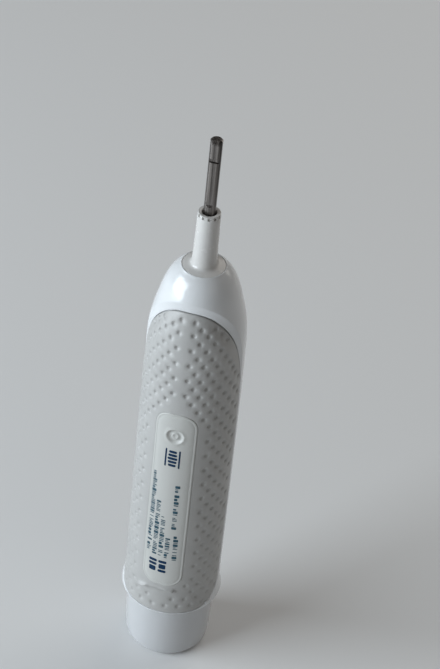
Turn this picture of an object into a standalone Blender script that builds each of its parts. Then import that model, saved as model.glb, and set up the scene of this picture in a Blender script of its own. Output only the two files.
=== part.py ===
"""Handle of an oscillating electric toothbrush, with its brush head taken off.

Run it with: blender --background --python part.py

The part stands on its base. The origin is the centre of the base's flat underside, and +Z runs up the
drive shaft's axis. The front, with the power button, faces -Y. The soft grip and its label face +Y.
Lengths are written in millimetres, and MM turns them into metres where a mesh is made.
"""

import math

import bmesh
import bpy
from mathutils import Matrix, Vector

MM = 0.001

# Clearances
GAP = 0.3  # between faces that touch in the real part
BORE_GAP = 0.3  # radial, between a shaft or pin and its hole
OVER = 2.0  # how far a cutter runs on past what it cuts

# Roundness, in segments a turn
BODY_SEGMENTS = 48
WIDE_SEGMENTS = 36
PART_SEGMENTS = 24
HOLE_SEGMENTS = 16
SMALL_SEGMENTS = 12
WIRE_SEGMENTS = 8

# Outside of the housing: height and radius, from the lip over the base cap to the rim round the neck
BODY_OUTLINE = (
    (23.0, 16.2),
    (25.5, 15.7),
    (29.0, 15.35),
    (33.0, 15.25),
    (58.0, 15.25),
    (79.0, 15.15),
    (108.0, 14.95),
    (127.0, 14.6),
    (131.5, 14.3),
    (136.0, 13.6),
    (140.0, 12.6),
    (145.0, 11.35),
    (149.0, 9.6),
    (151.5, 8.0),
    (153.2, 7.0),
)
LIP_Z = BODY_OUTLINE[0][0]
RIM_Z = BODY_OUTLINE[-1][0]
WALL = 2.8
SHOULDER_WALL = 3.0
SHOULDER_Z = 136.0
CEILING_Z = 148.5
NECK_HOLE_R = 6.25
BORE_TOP_Z = 33.0  # the inside is straight from here down to the lip
BEHIND_Y = 25.0  # clear of the back
BEFORE_Y = -20.0  # clear of the front
FRONT_HOLE_END_Y = -8.0

# Soft grip, laid in a recess of the housing's back
GRIP_DEPTH = 1.6
GRIP_HALF_WIDTH = 15.1
GRIP_BOTTOM_Z = 24.1
GRIP_SIDE_Z = 60.0  # a point of the straight sides
GRIP_SPRING_Z = 100.0  # where the sides start to curve in
GRIP_TOP_Z = 143.3
GRIP_ARCH_HALF_WIDTH = 15.0
ARCH_HEIGHT_POWER = 2.8
ARCH_WIDTH_POWER = 2.5
ARCH_STEPS = 10
GRIP_EDGE_Y = 0.5

# Label plate, laid in the grip
LABEL_HALF_WIDTH = 6.6
LABEL_BOTTOM_Z = 35.0
LABEL_TOP_Z = 107.0
LABEL_CORNER_R = 5.0
LABEL_THICKNESS = 0.65
LABEL_SINK = 0.1  # of its face below the grip's
LABEL_NEAR_Y = 2.0  # the plate and its recess lie behind this
LABEL_SKIN_Z = (30.0, 112.0)  # heights that its skin is cut from
LABEL_CORNER_STEPS = 5

# Base cap with the charger's socket
CAP_R = 13.9
CAP_FILLET = 1.8
CAP_WALL = 1.6
CAP_FLOOR = 2.0
PLUG_R = 12.1  # the part of the cap that goes up into the housing
PLUG_TOP_Z = 29.5
PLUG_INNER_R = 9.7
PLUG_FOOT_Z = 21.0  # where the plug's inside starts to widen
CAP_NARROWING_Z = 19.5  # top of the cap's straight inside
CAP_FILLET_STEPS = 5
GROOVE_FLOOR_R = 10.8
GROOVE_Z = (25.0, 26.7)
SOCKET_R = 4.7
SOCKET_DEPTH = 16.5
SOCKET_WALL = 1.0
SOCKET_END_WALL = 1.2
SEAL_CORD_R = 0.55
SEAL_CORD_STEPS = 7

# Charging coil on its bobbin, round the socket
BOBBIN_R = 6.0
BOBBIN_WALL = 0.7
BOBBIN_Z = (2.4, 15.3)
BOBBIN_FLANGE_R = 9.4
BOBBIN_FLANGE = 0.9
COIL_R = (7.0, 9.0)
LEAD_X = 2.0
LEAD_Y = -8.9
LEAD_R = 0.35

# Chassis that carries the battery, the board and the motor
CHASSIS_R = (10.4, 11.4)
CHASSIS_Z = (31.0, 112.0)
CHASSIS_HALF_ANGLE = 78.0
CHASSIS_STEPS = 18
PLATE_R = 11.2
PLATE_FLAT_Y = -7.8
PLATE_STEPS = 20
FLOOR_PLATE_Z = (31.1, 32.6)
MIDDLE_PLATE_Z = (84.7, 86.0)
BOSS_XY = (9.3, 3.5)
BOSS_R = 1.4
BOSS_Z = (103.0, 112.3)
BOSS_HOLE_Z = (105.2, 113.3)
SCREW_HOLE_R = 0.9

# Battery
BATTERY_Y = 0.6
BATTERY_R = 7.0
BATTERY_Z = (33.8, 82.2)
TERMINAL_R = 2.6
TERMINAL_TOP_Z = 83.4
CONTACT_R = 4.5
CONTACT_HALF_TAB = 1.5
CONTACT_TAB_Y = -8.1
CONTACT_STEPS = 18

# Circuit board, switch, light
BOARD_HALF_WIDTH = 6.2
BOARD_Y = (-9.4, -8.4)
BOARD_Z = (38.0, 110.0)
BUTTON_Z = 105.0
BUTTON_R = 5.7
BUTTON_PROUD = 0.5
BUTTON_BACK_Y = -12.6
FACE_REACH = 10.0  # of the skin that shapes the button and its bezel, above and below them
BEZEL_R = (6.0, 7.2)
BEZEL_PROUD = 0.25
BEZEL_BACK_Y = -12.9
SWITCH_HALF_WIDTH = 3.0
SWITCH_Y = (-11.6, -9.7)
PLUNGER_R = 1.4
PLUNGER_Y = (-12.3, -11.2)
SWITCH_HOLE_Y = -10.3
LIGHT_Z = 62.0
LENS_R = 1.6
LENS_Y = (-15.15, -10.8)
LED_Y = (-10.5, -9.7)
LED_HALF_WIDTH = 0.8
LED_HALF_HEIGHT = 1.0

# Motor
MOTOR_Y = 2.2
MOTOR_R = 7.8
MOTOR_WALL = 0.6
MOTOR_TOP_WALL = 0.7
MOTOR_HOLE_R = 2.3
MOTOR_Z = (88.7, 110.3)
MOTOR_CAP_Z = (87.0, 88.4)
MOTOR_BUSH_Z = (108.0, 112.0)
MOTOR_BRUSH_THICKNESS = 0.4
MOTOR_BRUSH_HALF_WIDTH = 0.8
MOTOR_BRUSH_TOP_Z = 92.0
MOTOR_TERMINAL_X = (3.2, 4.8)
MOTOR_TERMINAL_Y = (-8.1, -1.0)
MOTOR_TERMINAL_Z = (86.3, 86.7)
MAGNET_R = (5.9, 6.9)
MAGNET_Z = (92.0, 106.0)
MAGNET_HALF_ANGLE = 60.0
MAGNET_STEPS = 10
ARMATURE_R = 5.4
ARMATURE_SLOT_R = 2.6
ARMATURE_Z = (93.0, 105.0)
ARMATURE_POLES = 3
POLE_HALF_ANGLE = 46.0
SLOT_HALF_ANGLE = 6.0
POLE_STEPS = 8
ROTOR_SHAFT_R = 0.65
ROTOR_SHAFT_Z = (88.7, 119.6)
COMMUTATOR_R = 2.2
COMMUTATOR_Z = (89.2, 92.6)

# Gear train: pinion on the motor, crank gear on its own axle
MODULE = 0.4
PINION_TEETH = 9
GEAR_TEETH = 27
ADDENDUM = 0.8  # in modules, as are the next three
DEDENDUM = 1.25
TOOTH_WIDTH = 1.125  # at the pitch circle
TOOTH_TAPER = 0.7  # of width for each module of height
CENTRE_DISTANCE = MODULE * (PINION_TEETH + GEAR_TEETH) / 2
CRANK_Y = MOTOR_Y - CENTRE_DISTANCE
GEAR_Z = (115.8, 118.8)
PINION_Z = (115.4, 118.9)
GEAR_HUB_R = 3.4
GEAR_HUB_TOP_Z = 120.2
AXLE_R = 0.6
AXLE_Z = (112.9, 117.7)
AXLE_BORE_TOP_Z = 118.0
GEAR_HUB_FOOT_Z = 116.8
SWING = 22.5  # the drive shaft's turn each way, in degrees
CRANK_THROW = -CRANK_Y * math.sin(math.radians(SWING))
CRANK_PIN_R = 0.6
CRANK_PIN_Z = (118.7, 124.2)
PIN_HOLE_FLOOR_Z = 118.4

# Gearbox frame
FRAME_LOWER_Z = (112.6, 114.2)
FRAME_LOWER_R = 11.1
FRAME_UPPER_Z = (130.0, 132.5)
FRAME_UPPER_R = 10.5
FRAME_MOTOR_HOLE_R = 2.6
FRAME_BUSH_R = 3.0
REAR_BUSH_Z = (129.4, 133.0)
POST_X = 8.4
POST_R = 1.6
POST_SINK = 0.5  # of its ends into the plates
POST_HOLE_Z = (124.0, 140.0)

# Drive shaft with its rocker
SHAFT_R = 1.75
SHAFT_TIP_Z = 195.0
SHAFT_STEP_Z = 128.2
SHAFT_FOOT_Z = 123.9
SHAFT_FOOT_R = 1.25
FLAT_Y = 1.35  # distance of the D-flat from the axis
FLAT_START_Z = 174.0
TIP_CHAMFER = 0.3
NOTCH_Z = (187.9, 189.1)
NOTCH_Y = 0.95
ROCKER_Z = (124.5, 127.5)
ROCKER_HUB_R = 3.2
ROCKER_HALF_WIDTH = 1.9
ROCKER_REACH = 7.4
ROCKER_ARM_ROOT_Y = -1.0
FORK_HALF_GAP = 0.8
CLIP_R = 3.4
CLIP_Z = (133.6, 134.4)

# Neck
NECK_SEAT_R = 5.95
NECK_SEAT_Z = 152.0
NECK_TOP_Z = 170.8
NECK_FOOT_R = 3.6
NECK_MIDDLE = (3.45, 160.0)  # radius, height
NECK_TOP_R = 3.3
NECK_BORE_R = 2.9
NECK_MOUTH_R = 2.1
NECK_LIP_Z = 169.2
NECK_FLANGE_R = 9.9
NECK_FLANGE_Z = (132.8, 134.6)
NECK_SKIRT_R = 6.9
NECK_SKIRT_INNER_R = 5.7
NECK_SKIRT_TOP_Z = 144.0
NECK_SEAT_FOOT_Z = 147.0
NECK_BORE_Z = 142.5
NECK_CONE_Z = 140.5  # where the inside starts to narrow
NECK_FILLET_R = 1.6
NECK_FILLET_STEPS = 4
RIM_NOTCHES = 4
RIM_NOTCH_WIDTH = 1.2
RIM_NOTCH_DEPTH = 0.9
RIM_NOTCH_TURN = 45.0  # of the first notch from +X, in degrees
BUSH_R = 2.6
FRONT_BUSH_Z = (156.0, 163.0)
SHAFT_SEAL_FOOT_Z = 165.4

# Screws: head radius, underside and top of the head, tip
GEARBOX_SCREW = (1.15, 114.5, 115.4, 105.6)
NECK_SCREW = (1.2, 134.9, 135.9, 124.6)

COLOURS = {
    # name: (red, green, blue), roughness, metallic
    "housing_white": ((0.80, 0.82, 0.84), 0.22, 0.0),
    "grip_grey": ((0.42, 0.41, 0.40), 0.55, 0.0),
    "label_grey": ((0.50, 0.49, 0.47), 0.45, 0.0),
    "button_white": ((0.74, 0.76, 0.78), 0.45, 0.0),
    "lens_clear": ((0.75, 0.85, 0.78), 0.10, 0.0),
    "shaft_steel": ((0.50, 0.50, 0.51), 0.30, 1.0),
    "steel": ((0.62, 0.62, 0.63), 0.35, 1.0),
    "nickel": ((0.68, 0.67, 0.62), 0.30, 1.0),
    "brass": ((0.72, 0.55, 0.27), 0.30, 1.0),
    "copper": ((0.72, 0.38, 0.20), 0.35, 1.0),
    "seal_black": ((0.03, 0.03, 0.03), 0.70, 0.0),
    "chassis_grey": ((0.25, 0.26, 0.27), 0.55, 0.0),
    "frame_ivory": ((0.72, 0.70, 0.63), 0.50, 0.0),
    "gear_nylon": ((0.78, 0.77, 0.72), 0.45, 0.0),
    "battery_green": ((0.08, 0.32, 0.20), 0.35, 0.0),
    "board_green": ((0.04, 0.22, 0.10), 0.45, 0.0),
    "magnet_black": ((0.07, 0.07, 0.08), 0.60, 0.0),
}


def clear_scene():
    for obj in list(bpy.data.objects):
        bpy.data.objects.remove(obj, do_unlink=True)


def material(name):
    """The named Principled material, made the first time it is asked for."""
    if name in bpy.data.materials:
        return bpy.data.materials[name]
    colour, roughness, metallic = COLOURS[name]
    made = bpy.data.materials.new(name)
    made.use_nodes = True
    shader = made.node_tree.nodes["Principled BSDF"]
    shader.inputs["Base Color"].default_value = (*colour, 1.0)
    shader.inputs["Roughness"].default_value = roughness
    shader.inputs["Metallic"].default_value = metallic
    made.diffuse_color = (*colour, 1.0)
    return made


def add_object(name, bm, finish=None, parent=None):
    """The mesh as an object with its faces out and its round faces smooth."""
    bmesh.ops.recalc_face_normals(bm, faces=bm.faces)
    mesh = bpy.data.meshes.new(name)
    bm.to_mesh(mesh)
    bm.free()
    mesh.shade_smooth()
    mesh.set_sharp_from_angle(angle=math.radians(35))
    if finish:
        mesh.materials.append(material(finish))
    obj = bpy.data.objects.new(name, mesh)
    bpy.context.collection.objects.link(obj)
    obj.parent = parent
    return obj


def add_axis(name, x, y, z):
    """An empty on a joint's axis. What is parented to it moves about it."""
    axis = bpy.data.objects.new(name, None)
    axis.location = (x * MM, y * MM, z * MM)
    bpy.context.collection.objects.link(axis)
    return axis


def boolean(obj, tool_name, bm, operation):
    """Cut, join or keep what is common with a wire tool, which stays out of renders."""
    tool = add_object(tool_name, bm, parent=obj.parent)
    tool.hide_render = True
    tool.display_type = "WIRE"
    step = obj.modifiers.new(tool_name, "BOOLEAN")
    step.operation = operation
    step.solver = "EXACT"
    step.object = tool
    return tool


def cut(obj, tool_name, bm):
    return boolean(obj, tool_name, bm, "DIFFERENCE")


def unite(obj, tool_name, bm):
    return boolean(obj, tool_name, bm, "UNION")


def keep_common(obj, tool_name, bm):
    return boolean(obj, tool_name, bm, "INTERSECT")


def turned(outline, segments=PART_SEGMENTS, x=0.0, y=0.0):
    """A (radius, height) outline turned about the vertical axis at (x, y).

    The outline closes on itself, except where both of its ends lie on the axis.
    """
    bm = bmesh.new()
    points = [bm.verts.new((r * MM, 0.0, z * MM)) for r, z in outline]
    edges = []
    for first, second in zip(points, points[1:] + points[:1]):
        if first.co.x > 0.0 or second.co.x > 0.0:
            edges.append(bm.edges.new((first, second)))
    bmesh.ops.spin(
        bm,
        geom=points + edges,
        axis=(0.0, 0.0, 1.0),
        cent=(0.0, 0.0, 0.0),
        angle=math.tau,
        steps=segments,
    )
    bmesh.ops.remove_doubles(bm, verts=bm.verts, dist=0.0001 * MM)
    bmesh.ops.translate(bm, verts=bm.verts, vec=(x * MM, y * MM, 0.0))
    return bm


def rod(radius, low, high, segments=PART_SEGMENTS, x=0.0, y=0.0):
    return turned(((0.0, low), (radius, low), (radius, high), (0.0, high)), segments, x, y)


def ring(inner, outer, low, high, segments=PART_SEGMENTS, x=0.0, y=0.0):
    outline = ((inner, low), (outer, low), (outer, high), (inner, high))
    return turned(outline, segments, x, y)


def lying_along_y(bm, z):
    """A piece modelled up +Z, laid down so that its heights run along +Y, at height z."""
    bmesh.ops.transform(bm, matrix=Matrix.Rotation(math.radians(-90.0), 4, "X"), verts=bm.verts)
    bmesh.ops.translate(bm, verts=bm.verts, vec=(0.0, 0.0, z * MM))
    return bm


def prism(outline, low, high):
    """An (x, y) outline extruded from one height to another."""
    bm = bmesh.new()
    face = bm.faces.new([bm.verts.new((x * MM, y * MM, low * MM)) for x, y in outline])
    grown = bmesh.ops.extrude_face_region(bm, geom=[face])
    top = [item for item in grown["geom"] if isinstance(item, bmesh.types.BMVert)]
    bmesh.ops.translate(bm, verts=top, vec=(0.0, 0.0, (high - low) * MM))
    return bm


def wall_prism(outline, near, far):
    """An (x, z) outline extruded along Y."""
    bm = bmesh.new()
    face = bm.faces.new([bm.verts.new((x * MM, near * MM, z * MM)) for x, z in outline])
    grown = bmesh.ops.extrude_face_region(bm, geom=[face])
    back = [item for item in grown["geom"] if isinstance(item, bmesh.types.BMVert)]
    bmesh.ops.translate(bm, verts=back, vec=(0.0, (far - near) * MM, 0.0))
    return bm


def block(x_range, y_range, z_range):
    """A rectangular block between two corners."""
    bm = bmesh.new()
    bmesh.ops.create_cube(bm, size=1.0)
    low = Vector((x_range[0], y_range[0], z_range[0])) * MM
    high = Vector((x_range[1], y_range[1], z_range[1])) * MM
    bmesh.ops.scale(bm, verts=bm.verts, vec=high - low)
    bmesh.ops.translate(bm, verts=bm.verts, vec=(low + high) / 2.0)
    return bm


def arc(radius, start, end, steps, x=0.0, y=0.0):
    """Points on an arc, in degrees from +X."""
    angles = [math.radians(start + (end - start) * i / steps) for i in range(steps + 1)]
    return [(x + radius * math.cos(a), y + radius * math.sin(a)) for a in angles]


def sector(inner, outer, start, end, steps, y=0.0):
    return arc(outer, start, end, steps, y=y) + arc(inner, end, start, steps, y=y)


def flatted_disc(radius, flat_y, steps):
    """A disc with its -Y side cut straight."""
    edge = math.degrees(math.asin(flat_y / radius))
    return arc(radius, edge, 180.0 - edge, steps)


def body_radius(z):
    """The housing's outer radius at a height."""
    for (low_z, low_r), (high_z, high_r) in zip(BODY_OUTLINE, BODY_OUTLINE[1:]):
        if z <= high_z:
            return low_r + (high_r - low_r) * (z - low_z) / (high_z - low_z)
    return BODY_OUTLINE[-1][1]


def inner_radius(z):
    return body_radius(z) - (SHOULDER_WALL if z >= SHOULDER_Z else WALL)


def body_skin(inner_offset, outer_offset, low, high):
    """A shell that follows the housing's outside between two heights."""
    heights = [low] + [z for z, _ in BODY_OUTLINE if low < z < high] + [high]
    outside = [(body_radius(z) + outer_offset, z) for z in heights]
    inside = [(body_radius(z) + inner_offset, z) for z in reversed(heights)]
    return turned(outside + inside, BODY_SEGMENTS)


def body_core(offset, low, high):
    """The housing's outside as a solid between two heights."""
    heights = [low] + [z for z, _ in BODY_OUTLINE if low < z < high] + [high]
    outside = [(body_radius(z) + offset, z) for z in heights]
    return turned([(0.0, low)] + outside + [(0.0, high)], BODY_SEGMENTS)


def grip_outline(grow):
    """The grip seen from the back: straight sides under a superelliptic arch."""
    width = GRIP_ARCH_HALF_WIDTH + grow
    height = GRIP_TOP_Z - GRIP_SPRING_Z + grow
    arch = []
    for i in range(ARCH_STEPS + 1):
        t = math.radians(90.0 * i / ARCH_STEPS)
        x = width * max(math.cos(t), 0.0) ** (2.0 / ARCH_WIDTH_POWER)
        z = GRIP_SPRING_Z + height * math.sin(t) ** (2.0 / ARCH_HEIGHT_POWER)
        arch.append((x, z))
    arch[-1] = (0.0, GRIP_TOP_Z + grow)
    side_x = GRIP_HALF_WIDTH + grow
    half = [(side_x, GRIP_BOTTOM_Z - grow), (side_x, GRIP_SIDE_Z)] + arch
    return half + [(-x, z) for x, z in reversed(half[:-1])]


def label_outline(grow):
    """A rounded rectangle, seen from the back."""
    radius = LABEL_CORNER_R + grow
    x = LABEL_HALF_WIDTH - LABEL_CORNER_R
    low = LABEL_BOTTOM_Z + LABEL_CORNER_R
    high = LABEL_TOP_Z - LABEL_CORNER_R
    points = []
    for corner_x, corner_z, start in ((x, high, 0.0), (-x, high, 90.0), (-x, low, 180.0), (x, low, 270.0)):
        points += arc(radius, start, start + 90.0, LABEL_CORNER_STEPS, x=corner_x, y=corner_z)
    return points


def make_housing():
    outside = [(r, z) for z, r in BODY_OUTLINE]
    rim = [(NECK_HOLE_R, RIM_Z), (NECK_HOLE_R, CEILING_Z)]
    inner_heights = [z for z, _ in BODY_OUTLINE if BORE_TOP_Z <= z < CEILING_Z] + [CEILING_Z]
    inside = [(inner_radius(z), z) for z in reversed(inner_heights)]
    outline = outside + rim + inside + [(inner_radius(BORE_TOP_Z), LIP_Z)]
    housing = add_object("housing_shell", turned(outline, BODY_SEGMENTS), "housing_white")

    skin_z = (GRIP_BOTTOM_Z - 2.0 * GAP, GRIP_TOP_Z + OVER)
    recess = cut(housing, "grip_recess", body_skin(-GRIP_DEPTH - GAP, OVER, *skin_z))
    recess_shape = wall_prism(grip_outline(GAP), GRIP_EDGE_Y - GAP, BEHIND_Y)
    keep_common(recess, "grip_recess_shape", recess_shape)
    bezel_hole = rod(BEZEL_R[1] + GAP, BEFORE_Y, FRONT_HOLE_END_Y)
    cut(housing, "bezel_hole", lying_along_y(bezel_hole, BUTTON_Z))
    lens_hole = rod(LENS_R + GAP, BEFORE_Y, FRONT_HOLE_END_Y, HOLE_SEGMENTS)
    cut(housing, "lens_hole", lying_along_y(lens_hole, LIGHT_Z))


def make_grip():
    grip_skin = body_skin(-GRIP_DEPTH, 0.0, GRIP_BOTTOM_Z, GRIP_TOP_Z + OVER)
    grip = add_object("back_grip", grip_skin, "grip_grey")
    keep_common(grip, "grip_shape", wall_prism(grip_outline(0.0), GRIP_EDGE_Y, BEHIND_Y))
    label_floor = -LABEL_SINK - LABEL_THICKNESS
    recess = cut(grip, "label_recess", body_skin(label_floor - GAP, OVER, *LABEL_SKIN_Z))
    recess_shape = wall_prism(label_outline(GAP), LABEL_NEAR_Y, BEHIND_Y)
    keep_common(recess, "label_recess_shape", recess_shape)

    label_skin = body_skin(label_floor, -LABEL_SINK, *LABEL_SKIN_Z)
    label = add_object("label_plate", label_skin, "label_grey")
    keep_common(label, "label_shape", wall_prism(label_outline(0.0), LABEL_NEAR_Y, BEHIND_Y))


def make_base_cap():
    top = LIP_Z - GAP
    corner = arc(CAP_FILLET, -90.0, 0.0, CAP_FILLET_STEPS, x=CAP_R - CAP_FILLET, y=CAP_FILLET)
    cap_inner = CAP_R - CAP_WALL
    socket_outer = SOCKET_R + SOCKET_WALL
    socket_top = SOCKET_DEPTH + SOCKET_END_WALL
    outline = (
        [(SOCKET_R, 0.0)]
        + corner
        + [(CAP_R, top), (PLUG_R, top)]
        + [(PLUG_R, GROOVE_Z[0]), (GROOVE_FLOOR_R, GROOVE_Z[0])]
        + [(GROOVE_FLOOR_R, GROOVE_Z[1]), (PLUG_R, GROOVE_Z[1])]
        + [(PLUG_R, PLUG_TOP_Z), (PLUG_INNER_R, PLUG_TOP_Z), (PLUG_INNER_R, PLUG_FOOT_Z)]
        + [(cap_inner, CAP_NARROWING_Z), (cap_inner, CAP_FLOOR), (socket_outer, CAP_FLOOR)]
        + [(socket_outer, socket_top), (0.0, socket_top)]
        + [(0.0, SOCKET_DEPTH), (SOCKET_R, SOCKET_DEPTH)]
    )
    add_object("base_cap", turned(outline, BODY_SEGMENTS), "housing_white")

    seal_r = GROOVE_FLOOR_R + GAP + SEAL_CORD_R
    seal_z = sum(GROOVE_Z) / 2.0
    last = 360.0 - 360.0 / (SEAL_CORD_STEPS + 1)
    cord = arc(SEAL_CORD_R, 0.0, last, SEAL_CORD_STEPS, x=seal_r, y=seal_z)
    add_object("cap_seal", turned(cord, WIDE_SEGMENTS), "seal_black")


def make_charging_coil():
    low, high = BOBBIN_Z
    core = BOBBIN_R + BOBBIN_WALL
    outline = [(BOBBIN_R, low), (BOBBIN_FLANGE_R, low), (BOBBIN_FLANGE_R, low + BOBBIN_FLANGE)]
    outline += [(core, low + BOBBIN_FLANGE), (core, high - BOBBIN_FLANGE)]
    outline += [(BOBBIN_FLANGE_R, high - BOBBIN_FLANGE), (BOBBIN_FLANGE_R, high), (BOBBIN_R, high)]
    add_object("coil_bobbin", turned(outline), "frame_ivory")
    winding_z = (low + BOBBIN_FLANGE + GAP, high - BOBBIN_FLANGE - GAP)
    add_object("charging_coil", ring(*COIL_R, *winding_z), "copper")
    for side, x in (("left", -LEAD_X), ("right", LEAD_X)):
        lead = rod(LEAD_R, high + GAP, BOARD_Z[0] - GAP, WIRE_SEGMENTS, x, LEAD_Y)
        add_object(f"coil_lead_{side}", lead, "copper")


def make_chassis():
    arc_start = 90.0 - CHASSIS_HALF_ANGLE
    arc_end = 90.0 + CHASSIS_HALF_ANGLE
    cradle = prism(sector(*CHASSIS_R, arc_start, arc_end, CHASSIS_STEPS), *CHASSIS_Z)
    chassis = add_object("chassis_frame", cradle, "chassis_grey")
    plate = flatted_disc(PLATE_R, PLATE_FLAT_Y, PLATE_STEPS)
    unite(chassis, "floor_plate", prism(plate, *FLOOR_PLATE_Z))
    unite(chassis, "middle_plate", prism(plate, *MIDDLE_PLATE_Z))
    for side, x in (("left", -BOSS_XY[0]), ("right", BOSS_XY[0])):
        unite(chassis, f"boss_{side}", rod(BOSS_R, *BOSS_Z, SMALL_SEGMENTS, x, BOSS_XY[1]))
        hole = rod(SCREW_HOLE_R, *BOSS_HOLE_Z, SMALL_SEGMENTS, x, BOSS_XY[1])
        cut(chassis, f"boss_hole_{side}", hole)


def make_battery():
    low, high = BATTERY_Z
    outline = [(0.0, low), (BATTERY_R, low), (BATTERY_R, high)]
    outline += [(TERMINAL_R, high), (TERMINAL_R, TERMINAL_TOP_Z), (0.0, TERMINAL_TOP_Z)]
    add_object("battery_cell", turned(outline, y=BATTERY_Y), "battery_green")

    # A round contact with a tab that reaches to the circuit board
    tab_angle = math.degrees(math.asin(CONTACT_HALF_TAB / CONTACT_R))
    disc = arc(CONTACT_R, -90.0 + tab_angle, 270.0 - tab_angle, CONTACT_STEPS, y=BATTERY_Y)
    keyhole = disc + [(-CONTACT_HALF_TAB, CONTACT_TAB_Y), (CONTACT_HALF_TAB, CONTACT_TAB_Y)]
    lower_z = (FLOOR_PLATE_Z[1] + GAP, low - GAP)
    upper_z = (TERMINAL_TOP_Z + GAP, MIDDLE_PLATE_Z[0] - GAP)
    add_object("battery_contact_lower", prism(keyhole, *lower_z), "nickel")
    add_object("battery_contact_upper", prism(keyhole, *upper_z), "nickel")


def make_electronics():
    board = block((-BOARD_HALF_WIDTH, BOARD_HALF_WIDTH), BOARD_Y, BOARD_Z)
    add_object("circuit_board", board, "board_green")

    switch_z = (BUTTON_Z - SWITCH_HALF_WIDTH, BUTTON_Z + SWITCH_HALF_WIDTH)
    switch = block((-SWITCH_HALF_WIDTH, SWITCH_HALF_WIDTH), SWITCH_Y, switch_z)
    switch = add_object("switch_body", switch, "magnet_black")
    plunger_hole = rod(PLUNGER_R + GAP, SWITCH_Y[0] - OVER, SWITCH_HOLE_Y, HOLE_SEGMENTS)
    cut(switch, "plunger_hole", lying_along_y(plunger_hole, BUTTON_Z))

    led_z = (LIGHT_Z - LED_HALF_HEIGHT, LIGHT_Z + LED_HALF_HEIGHT)
    led = block((-LED_HALF_WIDTH, LED_HALF_WIDTH), LED_Y, led_z)
    add_object("charge_led", led, "lens_clear")
    lens = lying_along_y(rod(LENS_R, *LENS_Y, HOLE_SEGMENTS), LIGHT_Z)
    add_object("indicator_lens", lens, "lens_clear")


def make_button():
    """The button and the switch's plunger slide in along +Y together."""
    face_z = (BUTTON_Z - FACE_REACH, BUTTON_Z + FACE_REACH)
    bezel = lying_along_y(ring(*BEZEL_R, BEFORE_Y, BEZEL_BACK_Y), BUTTON_Z)
    bezel = add_object("button_bezel", bezel, "housing_white")
    keep_common(bezel, "bezel_face", body_core(BEZEL_PROUD, *face_z))

    travel = add_axis("button_axis", 0.0, 0.0, BUTTON_Z)
    face = body_core(BUTTON_PROUD, *face_z)
    bmesh.ops.translate(face, verts=face.verts, vec=(0.0, 0.0, -BUTTON_Z * MM))
    button = lying_along_y(rod(BUTTON_R, BEFORE_Y, BUTTON_BACK_Y), 0.0)
    button = add_object("power_button", button, "button_white", travel)
    keep_common(button, "button_face", face)
    plunger = lying_along_y(rod(PLUNGER_R, *PLUNGER_Y, HOLE_SEGMENTS), 0.0)
    add_object("switch_plunger", plunger, "seal_black", travel)


def make_motor_case():
    low, high = MOTOR_Z
    inner = MOTOR_R - MOTOR_WALL
    ceiling = high - MOTOR_TOP_WALL
    outline = [(inner, low), (MOTOR_R, low), (MOTOR_R, high), (MOTOR_HOLE_R, high)]
    outline += [(MOTOR_HOLE_R, ceiling), (inner, ceiling)]
    add_object("motor_can", turned(outline, y=MOTOR_Y), "steel")
    add_object("motor_end_cap", rod(MOTOR_R, *MOTOR_CAP_Z, y=MOTOR_Y), "frame_ivory")
    bush_r = (ROTOR_SHAFT_R + BORE_GAP, MOTOR_HOLE_R - GAP)
    add_object("motor_bush", ring(*bush_r, *MOTOR_BUSH_Z, HOLE_SEGMENTS, y=MOTOR_Y), "brass")

    for side, facing, sign in (("left", 180.0, -1.0), ("right", 0.0, 1.0)):
        start, end = facing - MAGNET_HALF_ANGLE, facing + MAGNET_HALF_ANGLE
        magnet = prism(sector(*MAGNET_R, start, end, MAGNET_STEPS, y=MOTOR_Y), *MAGNET_Z)
        add_object(f"motor_magnet_{side}", magnet, "magnet_black")
        near = COMMUTATOR_R + GAP
        brush_x = sorted((sign * near, sign * (near + MOTOR_BRUSH_THICKNESS)))
        brush_y = (MOTOR_Y - MOTOR_BRUSH_HALF_WIDTH, MOTOR_Y + MOTOR_BRUSH_HALF_WIDTH)
        brush = block(brush_x, brush_y, (low, MOTOR_BRUSH_TOP_Z))
        add_object(f"motor_brush_{side}", brush, "copper")
        terminal_x = sorted(sign * x for x in MOTOR_TERMINAL_X)
        terminal = block(terminal_x, MOTOR_TERMINAL_Y, MOTOR_TERMINAL_Z)
        add_object(f"motor_terminal_{side}", terminal, "nickel")


def make_rotor():
    """The rotor and its pinion turn about the motor's axis."""
    axis = add_axis("rotor_axis", 0.0, MOTOR_Y, 0.0)
    shaft = rod(ROTOR_SHAFT_R, *ROTOR_SHAFT_Z, SMALL_SEGMENTS)
    add_object("motor_shaft", shaft, "steel", axis)
    bore = ROTOR_SHAFT_R + BORE_GAP
    commutator = ring(bore, COMMUTATOR_R, *COMMUTATOR_Z, HOLE_SEGMENTS)
    add_object("commutator", commutator, "copper", axis)

    poles = []
    for pole in range(ARMATURE_POLES):
        middle = 360.0 * pole / ARMATURE_POLES
        slot = middle + 180.0 / ARMATURE_POLES
        poles += arc(ARMATURE_R, middle - POLE_HALF_ANGLE, middle + POLE_HALF_ANGLE, POLE_STEPS)
        poles += arc(ARMATURE_SLOT_R, slot - SLOT_HALF_ANGLE, slot + SLOT_HALF_ANGLE, 2)
    armature = add_object("motor_armature", prism(poles, *ARMATURE_Z), "steel", axis)
    bore_z = (ARMATURE_Z[0] - OVER, ARMATURE_Z[1] + OVER)
    cut(armature, "armature_bore", rod(bore, *bore_z, SMALL_SEGMENTS))

    # Turned by half a tooth, so that a gap faces the crank gear's tooth
    teeth = gear_outline(PINION_TEETH, -90.0 + 180.0 / PINION_TEETH)
    pinion = add_object("motor_pinion", prism(teeth, *PINION_Z), "brass", axis)
    bore_z = (PINION_Z[0] - OVER, PINION_Z[1] + OVER)
    cut(pinion, "pinion_bore", rod(bore, *bore_z, SMALL_SEGMENTS))


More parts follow.
